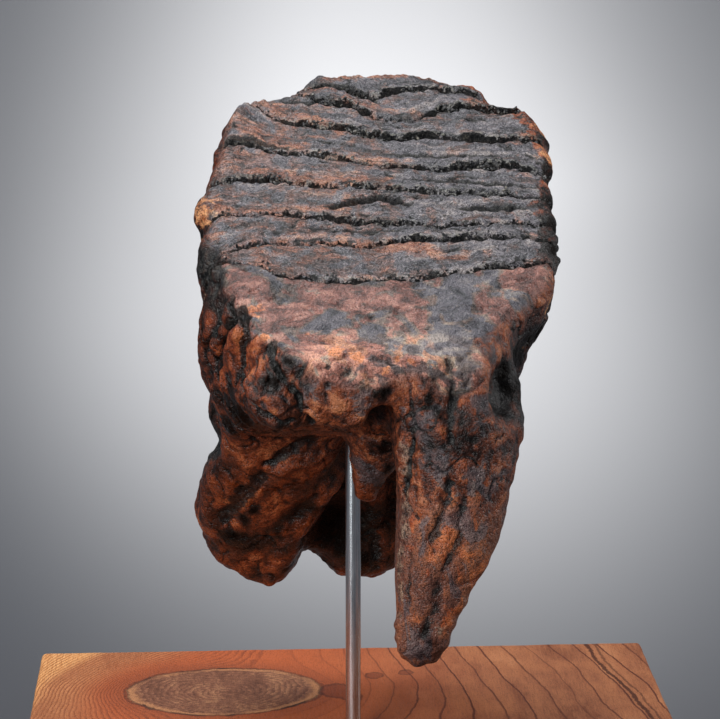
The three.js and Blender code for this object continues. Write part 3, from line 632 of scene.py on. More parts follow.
class Nodes:
    """Short calls for laying out a node tree."""

    def __init__(self, tree):
        self.tree = tree

    def add(self, kind, **settings):
        node = self.tree.nodes.new(kind)
        for key, value in settings.items():
            setattr(node, key, value)
        return node

    def link(self, source, target):
        if isinstance(source, (int, float)):
            target.default_value = source
        elif isinstance(source, tuple):
            target.default_value = source if len(source) == 4 or target.type == "VECTOR" else (*source, 1)
        else:
            self.tree.links.new(source, target)

    def math(self, operation, *values):
        node = self.add("ShaderNodeMath", operation=operation)
        for value, socket in zip(values, node.inputs):
            self.link(value, socket)
        return node.outputs[0]

    def times(self, first, *others):
        """The product of any number of values."""
        for other in others:
            first = self.math("MULTIPLY", first, other)
        return first

    def far_from(self, value, middle):
        """How far a value is from a middle one, to either side."""
        return self.math("ABSOLUTE", self.math("SUBTRACT", value, middle))

    def less(self, value):
        """1 less a value."""
        return self.math("SUBTRACT", 1, value)

    def mask(self, name):
        return self.add("ShaderNodeAttribute", attribute_name=name).outputs["Fac"]

    def patches(self, name, lowest):
        """The mask of some patches, which goes no further below their edge than the lowest value."""
        return self.math("MAXIMUM", self.mask(name), lowest)

    def place(self):
        return self.add("ShaderNodeTexCoord").outputs["Object"]

    def noise(self, place, size, detail=3, roughness=0.6, distortion=0.0):
        """Noise with features of a size in mm."""
        node = self.add("ShaderNodeTexNoise")
        self.link(place, node.inputs["Vector"])
        node.inputs["Scale"].default_value = 1 / (size * MM)
        node.inputs["Detail"].default_value = detail
        node.inputs["Roughness"].default_value = roughness
        node.inputs["Distortion"].default_value = distortion
        return node.outputs["Fac"]

    def vector(self, value):
        node = self.add("ShaderNodeCombineXYZ")
        self.link(value, node.inputs["X"])
        return node.outputs[0]

    def grey(self, value):
        node = self.add("ShaderNodeCombineColor")
        for socket in node.inputs:
            self.link(value, socket)
        return node.outputs[0]

    def stretch(self, place, factors, lean=0.0):
        """Places drawn out along the axes, after a turn about the depth axis that leans the upright one."""
        turned = self.add("ShaderNodeMapping")
        self.link(place, turned.inputs["Vector"])
        turned.inputs["Rotation"].default_value = (0, lean, 0)
        drawn = self.add("ShaderNodeMapping")
        self.link(turned.outputs["Vector"], drawn.inputs["Vector"])
        drawn.inputs["Scale"].default_value = factors
        return drawn.outputs["Vector"]

    def step(self, value, start, end, low=0.0, high=1.0):
        node = self.add("ShaderNodeMapRange", interpolation_type="SMOOTHSTEP")
        self.link(value, node.inputs["Value"])
        for key, number in (("From Min", start), ("From Max", end), ("To Min", low), ("To Max", high)):
            self.link(number, node.inputs[key])
        return node.outputs["Result"]

    def mix(self, share, first, second, kind="MIX"):
        node = self.add("ShaderNodeMix", data_type="RGBA", blend_type=kind)
        self.link(share, node.inputs[0])
        self.link(first, node.inputs[6])
        self.link(second, node.inputs[7])
        return node.outputs[2]

    def sum(self, *terms):
        """The sum of (value, factor) pairs and plain numbers."""
        total = 0.0
        for term in terms:
            if isinstance(term, tuple):
                total = self.math("MULTIPLY_ADD", term[0], term[1], total)
            else:
                total = self.math("ADD", total, term)
        return total

    def scale(self, value, *stops):
        """A row of colours along a value. Each stop is its place, then red, green and blue for paint."""
        node = self.add("ShaderNodeValToRGB")
        self.link(value, node.inputs["Fac"])
        marks = node.color_ramp.elements
        while len(marks) < len(stops):
            marks.new(0.5)
        for mark, (at, *colour) in zip(marks, stops):
            mark.position = at
            mark.color = (*paint(*colour), 1)
        return node.outputs["Color"]

    def emboss(self, shader, height, depth):
        """Gives a shader its relief: a height from 0 to 1 stands for a depth in mm."""
        bump = self.add("ShaderNodeBump")
        bump.inputs["Distance"].default_value = depth * MM
        self.link(height, bump.inputs["Height"])
        self.link(bump.outputs["Normal"], shader.inputs["Normal"])


def grit_group():
    """Specks of two sizes: Shade is what they leave of a colour, and Height is how far they stand out."""
    tree = bpy.data.node_groups.new("grit", "ShaderNodeTree")
    tree.interface.new_socket("Place", in_out="INPUT", socket_type="NodeSocketVector")
    tree.interface.new_socket("Fineness", in_out="INPUT", socket_type="NodeSocketFloat")
    tree.interface.new_socket("Shade", in_out="OUTPUT", socket_type="NodeSocketFloat")
    tree.interface.new_socket("Height", in_out="OUTPUT", socket_type="NodeSocketFloat")
    n = Nodes(tree)
    given, made = n.add("NodeGroupInput").outputs, n.add("NodeGroupOutput").inputs
    sized = n.add("ShaderNodeVectorMath", operation="SCALE")
    n.link(given["Place"], sized.inputs[0])
    n.link(given["Fineness"], sized.inputs["Scale"])
    crumb, grit = n.noise(sized.outputs[0], 0.8, 2, 0.6), n.noise(sized.outputs[0], 0.3, 1, 0.6)
    n.link(n.times(n.step(grit, 0.32, 0.5, 0.25, 1.1), n.step(crumb, 0.36, 0.43, 0.5, 1)), made["Shade"])
    n.link(n.sum((crumb, 0.35), (grit, 0.16)), made["Height"])
    return tree


GRIT = grit_group()


def specks(n, place, fineness):
    """The shade and the height of the grit on a surface."""
    group = n.add("ShaderNodeGroup", node_tree=GRIT)
    n.link(place, group.inputs["Place"])
    n.link(fineness, group.inputs["Fineness"])
    return group.outputs["Shade"], group.outputs["Height"]


# The noises all over the tooth: size in mm, detail, roughness and, for some, how much they swirl.
TOOTH_NOISES = {
    "broad": (22, 3, 0.5, 0.6), "swirl": (9, 4, 0.6, 1.2), "patch": (5, 4, 0.62, 0.8),
    "fleck": (1.8, 3, 0.6), "crumb": (0.8, 2, 0.6), "grit": (0.3, 1, 0.6),
}
TOOTH_MASKS = ("top", "plateau", "lip", "root", "rim", "hollow", "cavity", "furrow", "side_to_side")
GRAIN_UNIT = 1000  # the grain of the plates is stored in mm, while noise takes metres


def tooth_patterns(n):
    """The noises and masks that the parts of the tooth's colour share."""
    p = SimpleNamespace(place=n.place())
    for name, settings in TOOTH_NOISES.items():
        setattr(p, name, n.noise(p.place, *settings))
    for name in TOOTH_MASKS:
        setattr(p, name, n.mask(name))
    p.grain = n.add("ShaderNodeAttribute", attribute_name="grain").outputs["Vector"]
    p.streak = n.noise(n.stretch(p.grain, (0.14, 1, 1)), 1.6 * GRAIN_UNIT, 4, 0.6)
    p.leaf = n.noise(n.stretch(p.grain, (0.07, 1, 1)), 1.5 * GRAIN_UNIT, 3, 0.55)
    p.on_plates = n.times(p.top, n.less(p.plateau))
    p.fang = n.step(n.mask("front_root"), 0.1, 0.8)
    return p


def plate_colour(n, p):
    """The plates: slate-grey dentine in fine leaves, with brown and orange cement between some of them."""
    bands = n.noise(n.stretch(p.grain, (0.04, 0.4, 1)), 1.6 * GRAIN_UNIT, 2, 0.5)
    tone = n.sum((p.streak, 0.35), (bands, 0.45), (p.patch, 0.35), (p.fleck, 0.2), (p.crumb, 0.15), -0.25)
    slate = n.scale(tone, (0.36, 28, 27, 31), (0.45, 66, 64, 70), (0.53, 96, 91, 96), (0.64, 136, 126, 122))
    brown = n.scale(tone, (0.36, 46, 33, 29), (0.45, 84, 64, 59), (0.54, 116, 88, 83), (0.66, 148, 120, 108))
    rust = n.scale(tone, (0.36, 66, 34, 22), (0.45, 114, 62, 42), (0.54, 142, 88, 62), (0.66, 176, 130, 104))
    warm = n.sum((p.swirl, 1.6), (p.patch, 0.9), (n.step(p.side_to_side, -30, 45), -0.22), -0.68)
    plates = n.mix(n.step(warm, 0.46, 0.54, 0, 0.9), slate, brown)
    plates = n.mix(n.step(warm, 0.6, 0.7, 0, 0.7), plates, rust)
    banded = n.sum((n.mask("cement"), 0.24), (p.leaf, 0.45), (p.streak, 0.25), (p.patch, 0.8), -0.74)
    plates = n.mix(n.step(banded, -0.04, 0.03, 0, 0.9), plates, brown)
    plates = n.mix(n.step(banded, 0.05, 0.16, 0, 0.9), plates, rust)
    at_rim = n.sum((p.rim, 0.6), (p.patch, 1.2), -0.7)
    return n.mix(n.step(at_rim, 0.25, 0.4, 0, 0.8), plates, rust)


def lip_colour(n, p, tone, front):
    """The lip: the colours of the front part with leaning swirls of tan and black, made lighter with painted
    light.
    """
    swirls = n.sum((n.noise(n.stretch(p.place, (1, 1, 0.55), 0.7), 9, 3, 0.55, 1.4), 1),
                   (n.patches("ochre_and_highlight", -0.3), 0.06), (n.patches("soot_and_shade", -0.3), -0.06))
    tan = n.scale(tone, (0.38, 98, 62, 46), (0.6, 174, 126, 98))
    black = n.scale(tone, (0.38, 16, 13, 13), (0.6, 72, 64, 66))
    on_lip = n.mix(n.step(swirls, 0.52, 0.58, 0, 0.75), front, tan)
    on_lip = n.mix(n.step(swirls, 0.46, 0.4, 0, 0.85), on_lip, black)
    front = n.mix(n.step(p.lip, 0.3, 0.9), front, on_lip)
    # Painted light: the lip is brightened as if lit like the plateau above, where it turns down.
    return n.mix(n.step(p.lip, 0.2, 0.8), front, (1.52, 1.45, 1.36), "MULTIPLY")


def front_colour(n, p):
    """The smooth front part: rose and slate clouds with dirt between them, and spots of iron and soot. Below
    the right of the lip the soot is painted shade.
    """
    cloud = n.noise(n.stretch(p.place, (0.8, 1, 1)), 7, 4, 0.55, 1.4)
    # The lip's share lifts the tone there: painted light on the lip.
    tone = n.sum((cloud, 0.9), (p.patch, 0.25), (p.fleck, 0.3), (p.crumb, 0.15), (p.lip, 0.1), -0.33)
    grey = n.scale(tone, (0.36, 40, 40, 45), (0.45, 72, 70, 77), (0.54, 90, 86, 92), (0.66, 124, 117, 114))
    dirt = n.scale(tone, (0.36, 46, 37, 32), (0.45, 82, 68, 61), (0.54, 110, 94, 85), (0.66, 148, 132, 118))
    rose = n.scale(tone, (0.36, 66, 40, 34), (0.45, 108, 68, 59), (0.54, 138, 93, 82), (0.66, 172, 126, 110))
    hue = n.sum((n.noise(p.place, 11, 4, 0.5, 1.8), 0.85), (p.fleck, 0.12), (n.patches("salmon", -0.5), 0.11),
                (n.patches("slate", -0.5), -0.15), 0.015)
    front = n.mix(n.step(hue, 0.44, 0.49), grey, dirt)
    front = n.mix(n.step(hue, 0.5, 0.56), front, rose)
    ochre_and_highlight, soot_and_shade = (
        n.step(n.sum((n.patches(name, -1), 0.3), (cloud, 0.5), (p.fleck, 0.4), -0.53), 0, 0.1, 0, 0.85)
        for name in ("ochre_and_highlight", "soot_and_shade")
    )
    # Soot spots; below the right of the lip they are painted shade.
    front = n.mix(soot_and_shade, front, n.scale(tone, (0.35, 14, 12, 12), (0.65, 60, 50, 48)))
    front = n.mix(n.step(n.far_from(cloud, 0.47), 0.01, 0, 0, 0.6), front, paint(52, 38, 36))
    front = lip_colour(n, p, tone, front)
    return n.mix(ochre_and_highlight, front, n.scale(tone, (0.35, 146, 70, 36), (0.65, 226, 144, 94)))


def root_colour(n, p, stain, tall):
    """The front root: bone brown, with glowing rust and purple-grey parts."""
    wide_tall = n.noise(n.stretch(p.place, (1, 1, 0.35)), 9, 3, 0.55, 0.8)
    # The stain term also brings the painted shade of the hollows.
    tone = n.sum((p.broad, 0.15), (wide_tall, 0.3), (tall, 0.25), (p.fleck, 0.25), (stain, 0.6), 0.025)
    bone = n.scale(tone, (0.32, 30, 17, 14), (0.41, 74, 42, 32), (0.5, 106, 65, 52), (0.6, 136, 80, 54),
                   (0.72, 160, 106, 80))
    purple = n.scale(tone, (0.32, 20, 17, 18), (0.42, 54, 43, 44), (0.52, 86, 67, 66), (0.66, 120, 100, 96))
    glow = n.scale(tone, (0.32, 58, 24, 12), (0.41, 104, 48, 25), (0.5, 148, 68, 34), (0.62, 190, 108, 64))
    hue = n.sum((n.noise(n.stretch(p.place, (1, 1, 0.55)), 7, 4, 0.55, 1.2), 1), (p.patch, 0.25), -0.125)
    glowing = n.sum((hue, 1), (n.patches("ochre_and_highlight", -0.5), 0.14))
    bone = n.mix(n.step(glowing, 0.54, 0.63, 0, 0.9), bone, glow)
    ashen = n.sum((hue, -1), (n.patches("ash_and_highlight", -0.4), 0.19), 1)
    return n.mix(n.step(ashen, 0.47, 0.55, 0, 0.9), bone, purple), tone


def side_colour(n, p):
    """The sides and the roots, from black through umber to orange, with grey dentine laid bare in places and
    painted shade in their hollows.
    """
    to_left = n.step(p.side_to_side, -12, -26)
    # The stains shift the tone: soot darkens it and ochre lightens it. The hollow and cavity terms darken it as     painted shade in the recesses, as the soot on the right flank does.
    stain = n.sum((n.patches("soot_and_shade", -0.5), -0.2), (n.patches("ochre_and_highlight", -0.5), 0.12),
                  (n.step(p.hollow, 0.5, 0.95), -0.16), (n.step(p.cavity, 0.4, 0.7), -0.1), (p.plateau, 0.06),
                  (n.times(to_left, n.less(p.root)), -0.06))
    tall = n.noise(n.stretch(p.place, (1, 1, 0.25)), 3, 4, 0.6, 0.5)
    ring = n.noise(p.place, 8, 3, 0.55, 2.2)
    tone = n.sum((p.broad, 0.3), (ring, 0.5), (p.patch, 0.25), (tall, 0.2), (p.fleck, 0.25), (stain, 1),
                 -0.25)
    crown = n.scale(tone, (0.37, 15, 8, 5), (0.44, 46, 23, 16), (0.51, 86, 44, 29), (0.58, 128, 64, 36),
                    (0.68, 170, 104, 68))
    leaning = n.noise(n.stretch(p.place, (1, 1, 0.28), -0.64), 7, 3, 0.55, 0.5)
    tone = n.sum((p.broad, 0.35), (leaning, 0.6), (tall, 0.1), (p.fleck, 0.2), (stain, 1), -0.128)
    deep = n.scale(tone, (0.36, 11, 7, 5), (0.43, 38, 17, 9), (0.51, 76, 33, 16), (0.59, 120, 54, 24),
                   (0.7, 164, 92, 54))
    bone, tone = root_colour(n, p, stain, tall)
    body = n.mix(n.step(p.root, 0, 1), crown, deep)
    body = n.mix(p.fang, body, bone)
    left_fold = n.times(n.step(p.side_to_side, -18, -26), n.less(p.root))
    body = n.mix(left_fold, body, (0.9, 0.72, 0.56), "MULTIPLY")
    pale = n.scale(tone, (0.36, 20, 19, 20), (0.45, 54, 49, 51), (0.55, 86, 77, 79), (0.68, 130, 116, 110))
    greyer = n.sum((n.patches("ash_and_highlight", -0.6), 0.16), (p.swirl, -0.7), (p.patch, 0.6), (p.plateau, 0.06),
                   (n.patches("soot_and_shade", 0), -0.7), (p.root, -0.04), (n.step(p.side_to_side, -14, -26), -0.09),
                   0.54)
    body = n.mix(n.step(greyer, 0.53, 0.6, 0, 0.8), body, pale)
    wrinkle = n.far_from(n.noise(n.stretch(p.place, (1, 1, 0.6)), 6, 3, 0.5, 1.5), 0.5)
    line = n.times(n.step(wrinkle, 0.012, 0, 0, 0.7), n.step(p.fang, 0, 1, 1, 0.35))
    return n.mix(line, body, paint(18, 12, 10))


def add_crust(n, p, colour):
    """Pale crust, a painted amber highlight on thin edges and a dust of pale specks on the grinding surface.
    """
    crust = n.sum((n.patches("crust", -1), 0.3), (p.fleck, 0.5), (p.patch, 0.5), -0.55)
    colour = n.mix(n.step(crust, -0.08, 0.08, 0, 0.8), colour,
                   n.scale(n.sum((p.crumb, 0.4), (p.fleck, 0.6)), (0.38, 34, 28, 25), (0.5, 108, 86, 72),
                           (0.62, 166, 140, 118)))
    # Painted highlight: bright amber on the thin edges of the rim.
    amber_highlight = n.sum((n.patches("amber_highlight", -1), 0.24), (p.swirl, 0.8), (p.patch, 0.6), (p.fleck, 0.4), -0.92)
    colour = n.mix(n.step(amber_highlight, -0.03, 0.1, 0, 0.88), colour,
                   n.scale(p.fleck, (0.35, 158, 88, 48), (0.65, 228, 164, 112)))
    dust = n.sum((n.step(p.grit, 0.5, 0.7), 0.15), (n.step(p.crumb, 0.5, 0.68), 0.01))
    settled = n.sum((p.on_plates, 0.8), (n.times(p.top, p.plateau), 0.3), 0.02)
    return n.mix(1, colour, n.grey(n.times(dust, settled)), "ADD")


def add_cracks(n, p, colour):
    """The black crumbling cracks between the plates, with a pale lip behind them. Also gives their mask."""
    openness, split = n.mask("open"), n.mask("split")
    opened = n.times(openness, n.step(n.noise(p.place, 5, 2), 0.32, 0.6, 0.3, 1.25))
    seam = n.sum((n.mask("seam"), 1), (n.noise(p.place, 1.7, 3, 0.65), 2.2), (p.crumb, 1.4), -1.8)
    past = n.math("SUBTRACT", seam, n.sum((opened, 0.75), 0.2))
    inside = n.times(n.step(seam, -0.45, -0.2), n.step(past, 0.2, -0.05))
    pale_lip = n.times(n.step(past, 0, 0.3), n.step(past, 1.1, 0.6), n.step(openness, 0.3, 0.9),
                       n.step(p.crumb, 0.4, 0.6, 0, 0.45))
    colour = n.mix(pale_lip, colour, paint(136, 134, 118))
    black = n.scale(n.sum((p.crumb, 0.6), (p.fleck, 0.4)), (0.42, 7, 8, 9), (0.52, 20, 21, 20),
                    (0.6, 40, 39, 36), (0.7, 80, 77, 70))
    colour = n.mix(n.times(inside, n.step(openness, 0, 0.25, 0, 0.95)), colour, black)
    hair = n.times(n.step(n.far_from(p.leaf, 0.5), 0.09, 0.02), n.step(p.swirl, 0.42, 0.58, 0, 0.7),
                   p.on_plates)
    colour = n.mix(hair, colour, paint(30, 29, 30))
    in_split = n.sum((split, 1), (p.crumb, 0.8), (p.fleck, 0.5), -0.65)
    colour = n.mix(n.step(in_split, 0.15, 0.4, 0, 0.92), colour, black)
    in_furrow = n.sum((p.furrow, 1), (p.fleck, 0.8), (p.patch, 1), -0.9)
    colour = n.mix(n.step(in_furrow, 0.25, 0.6, 0, 0.9), colour, black)
    return colour, n.math("MAXIMUM", inside, split)


def fossil_material():
    material, tree, shader = new_material("fossil_tooth")
    n = Nodes(tree)
    p = tooth_patterns(n)
    grinding = n.mix(p.plateau, plate_colour(n, p), front_colour(n, p))
    facing_up = n.sum((n.math("MAXIMUM", p.top, p.lip), 1), (p.fleck, 0.6), -0.3)
    colour = n.mix(n.step(facing_up, 0.25, 0.7), side_colour(n, p), grinding)
    colour, cracked = add_cracks(n, p, add_crust(n, p, colour))
    shade, grit_height = specks(n, p.place, 1)
    colour = n.mix(n.step(p.plateau, 0, 1, 1, 0.7), colour, n.grey(shade), "MULTIPLY")
    # Painted highlight: tiny pale sparkles on the top, fewer on the front root.
    painted_glint = n.times(n.step(n.noise(p.place, 0.55, 0), 0.79, 0.84), n.sum((p.top, 0.4), (p.fang, 0.25), 0.05))
    n.link(n.mix(painted_glint, colour, paint(176, 166, 156)), shader.inputs["Base Color"])
    n.link(n.step(p.fleck, 0.3, 0.7, 0.26, 0.5), shader.inputs["Roughness"])
    dull = n.math("MAXIMUM", cracked, n.times(n.mask("soot_and_shade"), 1.6))
    n.link(n.step(dull, 0, 1, 0.34, 0.06), shader.inputs["Specular IOR Level"])
    n.emboss(shader, n.sum((n.mix(p.top, p.fleck, p.streak), 0.6), (grit_height, 1)), 1.3)
    return material


tooth.data.materials.append(fossil_material())
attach(tooth, "root")
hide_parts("tooth")

# ---- Grains ----
# Crumbled enamel stands in hard little grains along the cracks of the grinding surface. It is part of the
# tooth, and holds fast to it.

GRAINS = {"Density": 1.0e6, "Smallest": 0.22 * MM, "Largest": 0.6 * MM, "Seed": 5}
GRAIN_CHIPPING = 0.35  # how far a grain's corners are shifted, as a part of its radius


def new_tree(name, inputs):
    """A Geometry Nodes tree with named number inputs, ready for its nodes."""
    tree = bpy.data.node_groups.new(name, "GeometryNodeTree")
    tree.interface.new_socket("Geometry", in_out="INPUT", socket_type="NodeSocketGeometry")
    for label, value in inputs.items():
        kind = "NodeSocketInt" if isinstance(value, int) else "NodeSocketFloat"
        tree.interface.new_socket(label, in_out="INPUT", socket_type=kind).default_value = value
    tree.interface.new_socket("Geometry", in_out="OUTPUT", socket_type="NodeSocketGeometry")
    return tree


def finish_tree(n, geometry, material):
    """Ends a tree: its instances become real faces, and they get their material."""
    real = n.add("GeometryNodeRealizeInstances")
    n.link(geometry, real.inputs[0])
    dressed = n.add("GeometryNodeSetMaterial")
    n.link(real.outputs[0], dressed.inputs["Geometry"])
    dressed.inputs["Material"].default_value = material
    n.link(dressed.outputs[0], n.add("NodeGroupOutput").inputs[0])


def grow(name, tree, values, mesh=None):
    """Runs a Geometry Nodes tree with its inputs set, and keeps the mesh that it makes as a new piece."""
    piece = bpy.data.objects.new(name, mesh or bpy.data.meshes.new(name))
    bpy.context.scene.collection.objects.link(piece)
    modifier = piece.modifiers.new(name, "NODES")
    modifier.node_group = tree
    for socket in tree.interface.items_tree:
        if socket.in_out == "INPUT" and socket.name in values:
            modifier[socket.identifier] = values[socket.name]
    bake_modifiers(piece)
    return piece


def random_between(n, low, high, seed):
    """A random vector with every part between two values."""
    value = n.add("FunctionNodeRandomValue", data_type="FLOAT_VECTOR")
    for key, number in (("Min", low), ("Max", high)):
        n.link((number,) * 3 if isinstance(number, float) else number, value.inputs[key])
    n.link(seed, value.inputs["Seed"])
    return value.outputs[0]


def grain_tree(material):
    """Angular grains strewn over a mesh where its chips attribute is high."""
    tree = new_tree("grains", {"Density": 1000.0, "Smallest": 0.001, "Largest": 0.002, "Seed": 1})
    n = Nodes(tree)
    given = n.add("NodeGroupInput").outputs
    crumbly = n.add("GeometryNodeInputNamedAttribute", data_type="FLOAT")
    crumbly.inputs["Name"].default_value = "chips"
    spread = n.add("GeometryNodeDistributePointsOnFaces")
    n.link(given["Geometry"], spread.inputs["Mesh"])
    n.link(n.times(crumbly.outputs[0], given["Density"]), spread.inputs["Density"])
    n.link(given["Seed"], spread.inputs["Seed"])
    ball = n.add("GeometryNodeMeshIcoSphere")
    broken = n.add("GeometryNodeSetPosition")
    n.link(ball.outputs[0], broken.inputs["Geometry"])
    n.link(random_between(n, -GRAIN_CHIPPING, GRAIN_CHIPPING, 1), broken.inputs["Offset"])
    turn = n.add("FunctionNodeEulerToRotation")
    n.link(random_between(n, 0.0, 2 * math.pi, 2), turn.inputs[0])
    strewn = n.add("GeometryNodeInstanceOnPoints")
    n.link(spread.outputs["Points"], strewn.inputs["Points"])
    n.link(broken.outputs[0], strewn.inputs["Instance"])
    n.link(turn.outputs[0], strewn.inputs["Rotation"])
    n.link(random_between(n, given["Smallest"], given["Largest"], 3), strewn.inputs["Scale"])
    finish_tree(n, strewn.outputs[0], material)
    return tree


def enamel_material():
    material, tree, shader = new_material("enamel_grains")
    n = Nodes(tree)
    place = n.place()
    shade, height = specks(n, place, 1)
    tone = n.scale(n.noise(place, 1.6, 3, 0.7), (0.36, 10, 11, 13), (0.46, 38, 39, 41), (0.55, 74, 72, 70),
                   (0.7, 132, 126, 114))
    n.link(n.mix(1, tone, n.grey(shade), "MULTIPLY"), shader.inputs["Base Color"])
    shader.inputs["Roughness"].default_value = 0.4
    n.emboss(shader, height, 0.2)
    return material


grains = grow("enamel_grains", grain_tree(enamel_material()), GRAINS, tooth.data.copy())
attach(grains, "root")

# ---- Rod ----
# A bar of drawn steel, 4 mm thick. It is pushed into a socket in the block and glued into the tooth, and
# its ends are chamfered so that they enter.

ROD_LOW, ROD_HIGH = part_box("rod")
ROD_RADIUS = (ROD_HIGH.x - ROD_LOW.x) / 2
ROD_SIDES = 48
ROD_RINGS = 281  # rings of points along it, close enough together to draw the chamfers
ROD_CHAMFER = 0.5 * MM


def rod_tree(material):
    """A round bar along Z with a chamfer at either end."""
    tree = new_tree("bar", {"Bottom": 0.0, "Top": 0.1, "Radius": 0.002, "Chamfer": 0.0005, "Sides": 16})
    n = Nodes(tree)
    given = n.add("NodeGroupInput").outputs
    line = n.add("GeometryNodeCurvePrimitiveLine")
    for key, end in (("Bottom", "Start"), ("Top", "End")):
        place = n.add("ShaderNodeCombineXYZ")
        n.link(given[key], place.inputs["Z"])
        n.link(place.outputs[0], line.inputs[end])
    spaced = n.add("GeometryNodeResampleCurve")
    n.link(line.outputs[0], spaced.inputs["Curve"])
    n.link(ROD_RINGS, spaced.inputs["Count"])
    height = n.add("ShaderNodeSeparateXYZ")
    n.link(n.add("GeometryNodeInputPosition").outputs[0], height.inputs[0])
    from_end = n.math("MINIMUM", n.math("SUBTRACT", height.outputs["Z"], given["Bottom"]),
                      n.math("SUBTRACT", given["Top"], height.outputs["Z"]))
    slim = n.math("MAXIMUM", n.math("SUBTRACT", given["Chamfer"], from_end), 0)
    radius = n.math("SUBTRACT", given["Radius"], slim)
    section = n.add("GeometryNodeCurvePrimitiveCircle")
    n.link(given["Sides"], section.inputs["Resolution"])
    n.link(1, section.inputs["Radius"])
    swept = n.add("GeometryNodeCurveToMesh")
    n.link(spaced.outputs[0], swept.inputs["Curve"])
    n.link(section.outputs[0], swept.inputs["Profile Curve"])
    n.link(radius, swept.inputs["Scale"])
    swept.inputs["Fill Caps"].default_value = True
    finish_tree(n, swept.outputs[0], material)
    return tree


def steel_material():
    material, tree, shader = new_material("rod_steel")
    n = Nodes(tree)
    place = n.place()
    lines = n.noise(n.stretch(place, (1, 1, 0.012)), 0.22, 3, 0.7)
    clouds = n.noise(n.stretch(place, (1, 1, 0.3)), 6, 3, 0.6)
    shade, height = specks(n, place, 2)
    tone = n.mix(n.step(lines, 0.3, 0.7), paint(186, 192, 196), paint(226, 231, 235))
    tone = n.mix(n.step(clouds, 0.45, 0.7, 0, 0.35), tone, paint(164, 168, 171))
    n.link(n.mix(0.15, tone, n.grey(shade), "MULTIPLY"), shader.inputs["Base Color"])
    shader.inputs["Metallic"].default_value = 1
    n.link(n.step(lines, 0.25, 0.75, 0.2, 0.36), shader.inputs["Roughness"])
    n.emboss(shader, n.sum((lines, 1), (height, 0.3)), 0.03)
    return material


rod = grow("stand_rod", rod_tree(steel_material()), {
    "Bottom": ROD_LOW.z, "Top": ROD_HIGH.z, "Radius": ROD_RADIUS, "Chamfer": ROD_CHAMFER, "Sides": ROD_SIDES,
})
rod.data.polygons.foreach_set("use_smooth", [len(face.vertices) == 4 for face in rod.data.polygons])
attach(rod, "root")
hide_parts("rod")

# ---- Block ----
# A sawn and oiled block of reddish wood with its edges eased by hand. A branch left a large oval knot in
# it, and the rings flow round that. The edge on the left is paler sapwood.

BLOCK_LOW, BLOCK_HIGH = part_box("block")
BLOCK_EASE = 1.1 * MM
BLOCK_GRID = 2.4 * MM
EDGE_WEAR = 0.22  # mm
SOCKET = {"radius": ROD_RADIUS + 0.15 * MM, "depth": 26 * MM}
KNOT = {"middle": (-34, 32), "half_sizes": (27, 17.5), "rings": 15}  # mm
RINGS = {"left": 17, "right": 3.4}  # rings for each half width of the knot, either side of it
RING_LEAN = {"x": (-35, 45), "lean": (0.27, -0.16)}
RING_DIP = 0.4  # how far the rings shift sideways for each millimetre down
DRAWN_HEIGHT = 40  # the height in mm that the rings and the double line are drawn at
SAPWOOD = (-22, -27)  # the rings between which the wood turns pale
VEIN = [(71, 66), (73, 50), (78, 28), (82, 7), (86, -20), (90, -66)]  # a thick double line, in mm: x, y
SMALL_KNOTS = [(8, 42, 2.6), (17, 44, 2.2), (-3, 31, 5), (1, 26, 3)]  # in mm: x, y, half size


def block_mesh():
    """A box with a grid of faces and eased edges."""
    box = bmesh.new()
    bmesh.ops.create_cube(box, size=1)
    size, middle = BLOCK_HIGH - BLOCK_LOW, (BLOCK_HIGH + BLOCK_LOW) / 2
    for vert in box.verts:
        vert.co = Vector(c * s for c, s in zip(vert.co, size)) + middle
    bmesh.ops.bevel(box, geom=list(box.edges), offset=BLOCK_EASE, segments=3, profile=0.5, affect="EDGES")
    for axis in range(3):
        normal = Vector([float(axis == k) for k in range(3)])
        steps = round(size[axis] / BLOCK_GRID)
        for step in range(1, steps):
            place = BLOCK_LOW + normal * (size[axis] * step / steps)
            everything = list(box.verts) + list(box.edges) + list(box.faces)
            bmesh.ops.bisect_plane(box, geom=everything, plane_co=place, plane_no=normal)
    mesh = bpy.data.meshes.new("wood_block")
    box.to_mesh(mesh)
    box.free()
    return mesh


def wear_edges(mesh):
    """Takes a little off the edges, unevenly."""
    points = vertex_array(mesh)
    low, high = np.array(BLOCK_LOW) / MM, np.array(BLOCK_HIGH) / MM
    gap = np.sort(np.minimum(points - low, high - points), axis=1)
    near_edge = ramp(gap[:, 1], 2.5, 0)
    inward = np.array([0, 0, low[2] / 2 + high[2] / 2]) - points
    inward /= np.linalg.norm(inward, axis=1)[:, None]
    wear = near_edge * EDGE_WEAR * (0.7 + rough(points, 9, 51) + 0.5 * lumps(points, 2.5, 52))
    put_back(mesh, points + inward * np.clip(wear, 0, 1)[:, None])


def cut_socket(piece):
    """Drills the hole for the rod with a cutter that is then thrown away."""
    cutter = bpy.data.meshes.new("drill")
    bit = bmesh.new()
    bmesh.ops.create_cone(bit, cap_ends=True, segments=ROD_SIDES, radius1=SOCKET["radius"],
                          radius2=SOCKET["radius"], depth=2 * SOCKET["depth"])
    bmesh.ops.translate(bit, verts=bit.verts, vec=(0, 0, BLOCK_HIGH.z))
    bit.to_mesh(cutter)
    bit.free()
    drill = bpy.data.objects.new("drill", cutter)
    bpy.context.scene.collection.objects.link(drill)
    hole = piece.modifiers.new("hole", "BOOLEAN")
    hole.object = drill
    hole.solver = "EXACT"
    bake_modifiers(piece)
    bpy.data.objects.remove(drill)


